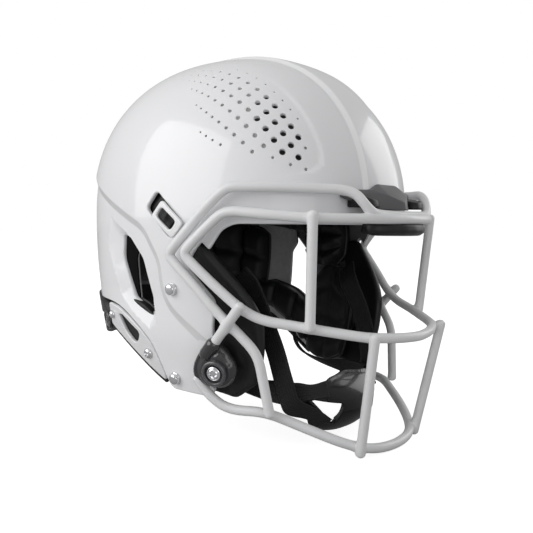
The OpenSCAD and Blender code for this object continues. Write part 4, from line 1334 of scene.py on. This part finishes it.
def cushions():
    out = []
    for tag, side in (("l", 1), ("r", -1)):
        out.append(Cushion("crown_cushion_" + tag, dome_surface(3, 60, 132, 52, PAD_OUT, 26), (60, 130),
                           [0], [-0.5, 0, 0.5], ["crown_pad_" + tag], side))
        for name, low, high, depth, thick, size, across, along, in_cad, cover, step in SIDE_PADS:
            out.append(Cushion(name + "_cushion_" + tag, side_surface(low, high, depth, thick), size, across,
                               along, [name + "_pad_" + tag] if in_cad else [], side, look=cover, step=step))
    out += [
        Cushion("front_cushion", dome_surface(-58, 58, 172, 136, PAD_OUT - CREST_H, 22), (124, 76),
                [-0.62, -0.2, 0.2, 0.62], [0], ["front_pad"]),
        Cushion("rear_cushion", dome_surface(-56, 56, 46, 6, PAD_OUT - CREST_H, 26), (118, 84),
                [-0.5, 0, 0.5], [0], ["rear_pad"]),
        Cushion("nape_cushion", back_surface(60, 110, 164, PAD_OUT - CREST_H, 22), (124, 54),
                [-0.5, 0, 0.5], [], ["nape_pad"]),
        Cushion("chin_cushion", cup_surface(21, -CUP_T - 1, 6), (36, 44), [0], [], ["chin_pad"],
                body="chin_strap", look="knit", step=3.5)]
    return out


def build_padding():
    pads = cushions()
    for pad in pads:
        pad.make()
    for pad in pads:
        pad.add_cloth()
    scene = bpy.context.scene
    scene.frame_start, scene.frame_end = 1, SIM_FRAMES
    for frame_no in range(1, SIM_FRAMES + 1):
        scene.frame_set(frame_no)
    graph = bpy.context.evaluated_depsgraph_get()
    found = [np.array([v.co for v in pad.obj.evaluated_get(graph).data.vertices]) for pad in pads]
    for pad, co in zip(pads, found):
        pad.obj.modifiers.remove(pad.obj.modifiers["cover"])
        pad.settle(co)
    scene.frame_set(1)
    for pad in pads:
        pad.finish()


# ---- stage ----
FLOOR_HALF, FLOOR_GREY, FLOOR_GLOW = 6.0, 0.42, 0.86
FILL = {"From Min": -0.3, "From Max": 0.7, "To Min": 0.34, "To Max": 0.56}     # height to strength
WHITE = (1, 1, 1, 1)
# name, place, what it faces, width and height, power
SOFT_BOXES = [("key", (-1.5, 0.8, 0.8), (0, 0, 0.17), (1.7, 1.4), 20),
              ("right", (1.55, -0.6, 0.75), (0, 0, 0.17), (0.9, 0.9), 5),
              ("front", (-1.0, -1.6, 0.3), (0, 0, 0.15), (1.3, 0.9), 4.5)]


def for_camera(tree, lighting, seen, output):
    """One shader for what the camera sees, and another for the light that it gives."""
    ray = add_node(tree, "LightPath").outputs["Is Camera Ray"]
    mix = add_node(tree, "MixShader", {"Fac": ray, 1: lighting, 2: seen})
    set_up(tree, tree.nodes[output], {"Surface": mix.outputs["Shader"]})


def build_floor():
    me = bpy.data.meshes.new("floor")
    s = FLOOR_HALF
    me.from_pydata([(-s, -s, 0), (s, -s, 0), (s, s, 0), (-s, s, 0)], [], [(0, 1, 2, 3)])
    m = material("studio_floor", FLOOR_GREY, FLOOR_GREY, 0.9, tint=0.005, bump=0.0)
    me.materials.append(m)
    plain = m.node_tree.nodes["Principled BSDF"].outputs["BSDF"]
    glow = add_node(m.node_tree, "Emission", {"Strength": FLOOR_GLOW}).outputs["Emission"]
    both = add_node(m.node_tree, "AddShader", {0: glow, 1: plain}).outputs["Shader"]
    for_camera(m.node_tree, plain, both, "Material Output")
    new_object("floor", me)


def build_world():
    world = bpy.data.worlds.new("studio")
    bpy.context.scene.world = world
    world.use_nodes = True
    tree = world.node_tree
    where = add_node(tree, "TexCoord").outputs["Generated"]
    height = add_node(tree, "SeparateXYZ", {"Vector": where}).outputs["Z"]
    rise = add_node(tree, "MapRange", {**FILL, "Value": height}, interpolation_type="SMOOTHSTEP")
    fill = set_up(tree, tree.nodes["Background"], {"Color": WHITE, "Strength": rise.outputs["Result"]})
    back = add_node(tree, "Background", {"Color": WHITE, "Strength": 1.0})
    for_camera(tree, fill.outputs["Background"], back.outputs["Background"], "World Output")


def soft_box(name, at, to, size, power):
    light = bpy.data.lights.new(name, "AREA")
    light.shape = "RECTANGLE"
    light.size, light.size_y = size
    light.energy = power
    o = new_object(name, light)
    o.location = at
    o.rotation_euler = (Vector(to) - Vector(at)).to_track_quat("-Z", "Y").to_euler()


CAMERA_AT = (-0.48695, -0.40531, 0.17010)
CAMERA_AZ, CAMERA_EL, CAMERA_ROLL = -50.888, 3.649, 1.109
LENS, SENSOR = 50, 36


def build_camera():
    az, el, roll = (math.radians(v) for v in (CAMERA_AZ, CAMERA_EL, CAMERA_ROLL))
    back = Vector((math.sin(az) * math.cos(el), -math.cos(az) * math.cos(el), math.sin(el)))
    right = Vector((math.cos(az), math.sin(az), 0))
    up = back.cross(right)
    across = math.cos(roll) * right + math.sin(roll) * up
    upward = -math.sin(roll) * right + math.cos(roll) * up
    cam = bpy.data.cameras.new("camera")
    cam.lens = LENS
    cam.sensor_width = SENSOR
    o = new_object("camera", cam)
    turn = Matrix((across, upward, back)).transposed().to_4x4()
    o.matrix_world = Matrix.Translation(Vector(CAMERA_AT) + Vector((0, SHIFT_Y * MM, 0))) @ turn
    bpy.context.scene.camera = o


build_shell()
build_guard()
build_nose_bumper()
build_brow_lip()
build_rear_plate()
build_chin_cup()
for side in (1, -1):
    for build in (build_wire_clip, build_side_clip, build_studs, build_temple, build_neck,
                  build_liner_web, build_jaw_band):
        build(side)
    build_strap("strap_high_", HIGH_EDGES, side)
    build_strap("strap_low_", LOW_EDGES, side)
build_padding()
build_floor()
build_world()
for box in SOFT_BOXES:
    soft_box(*box)
build_camera()
bpy.context.scene.view_settings.view_transform = "Standard"
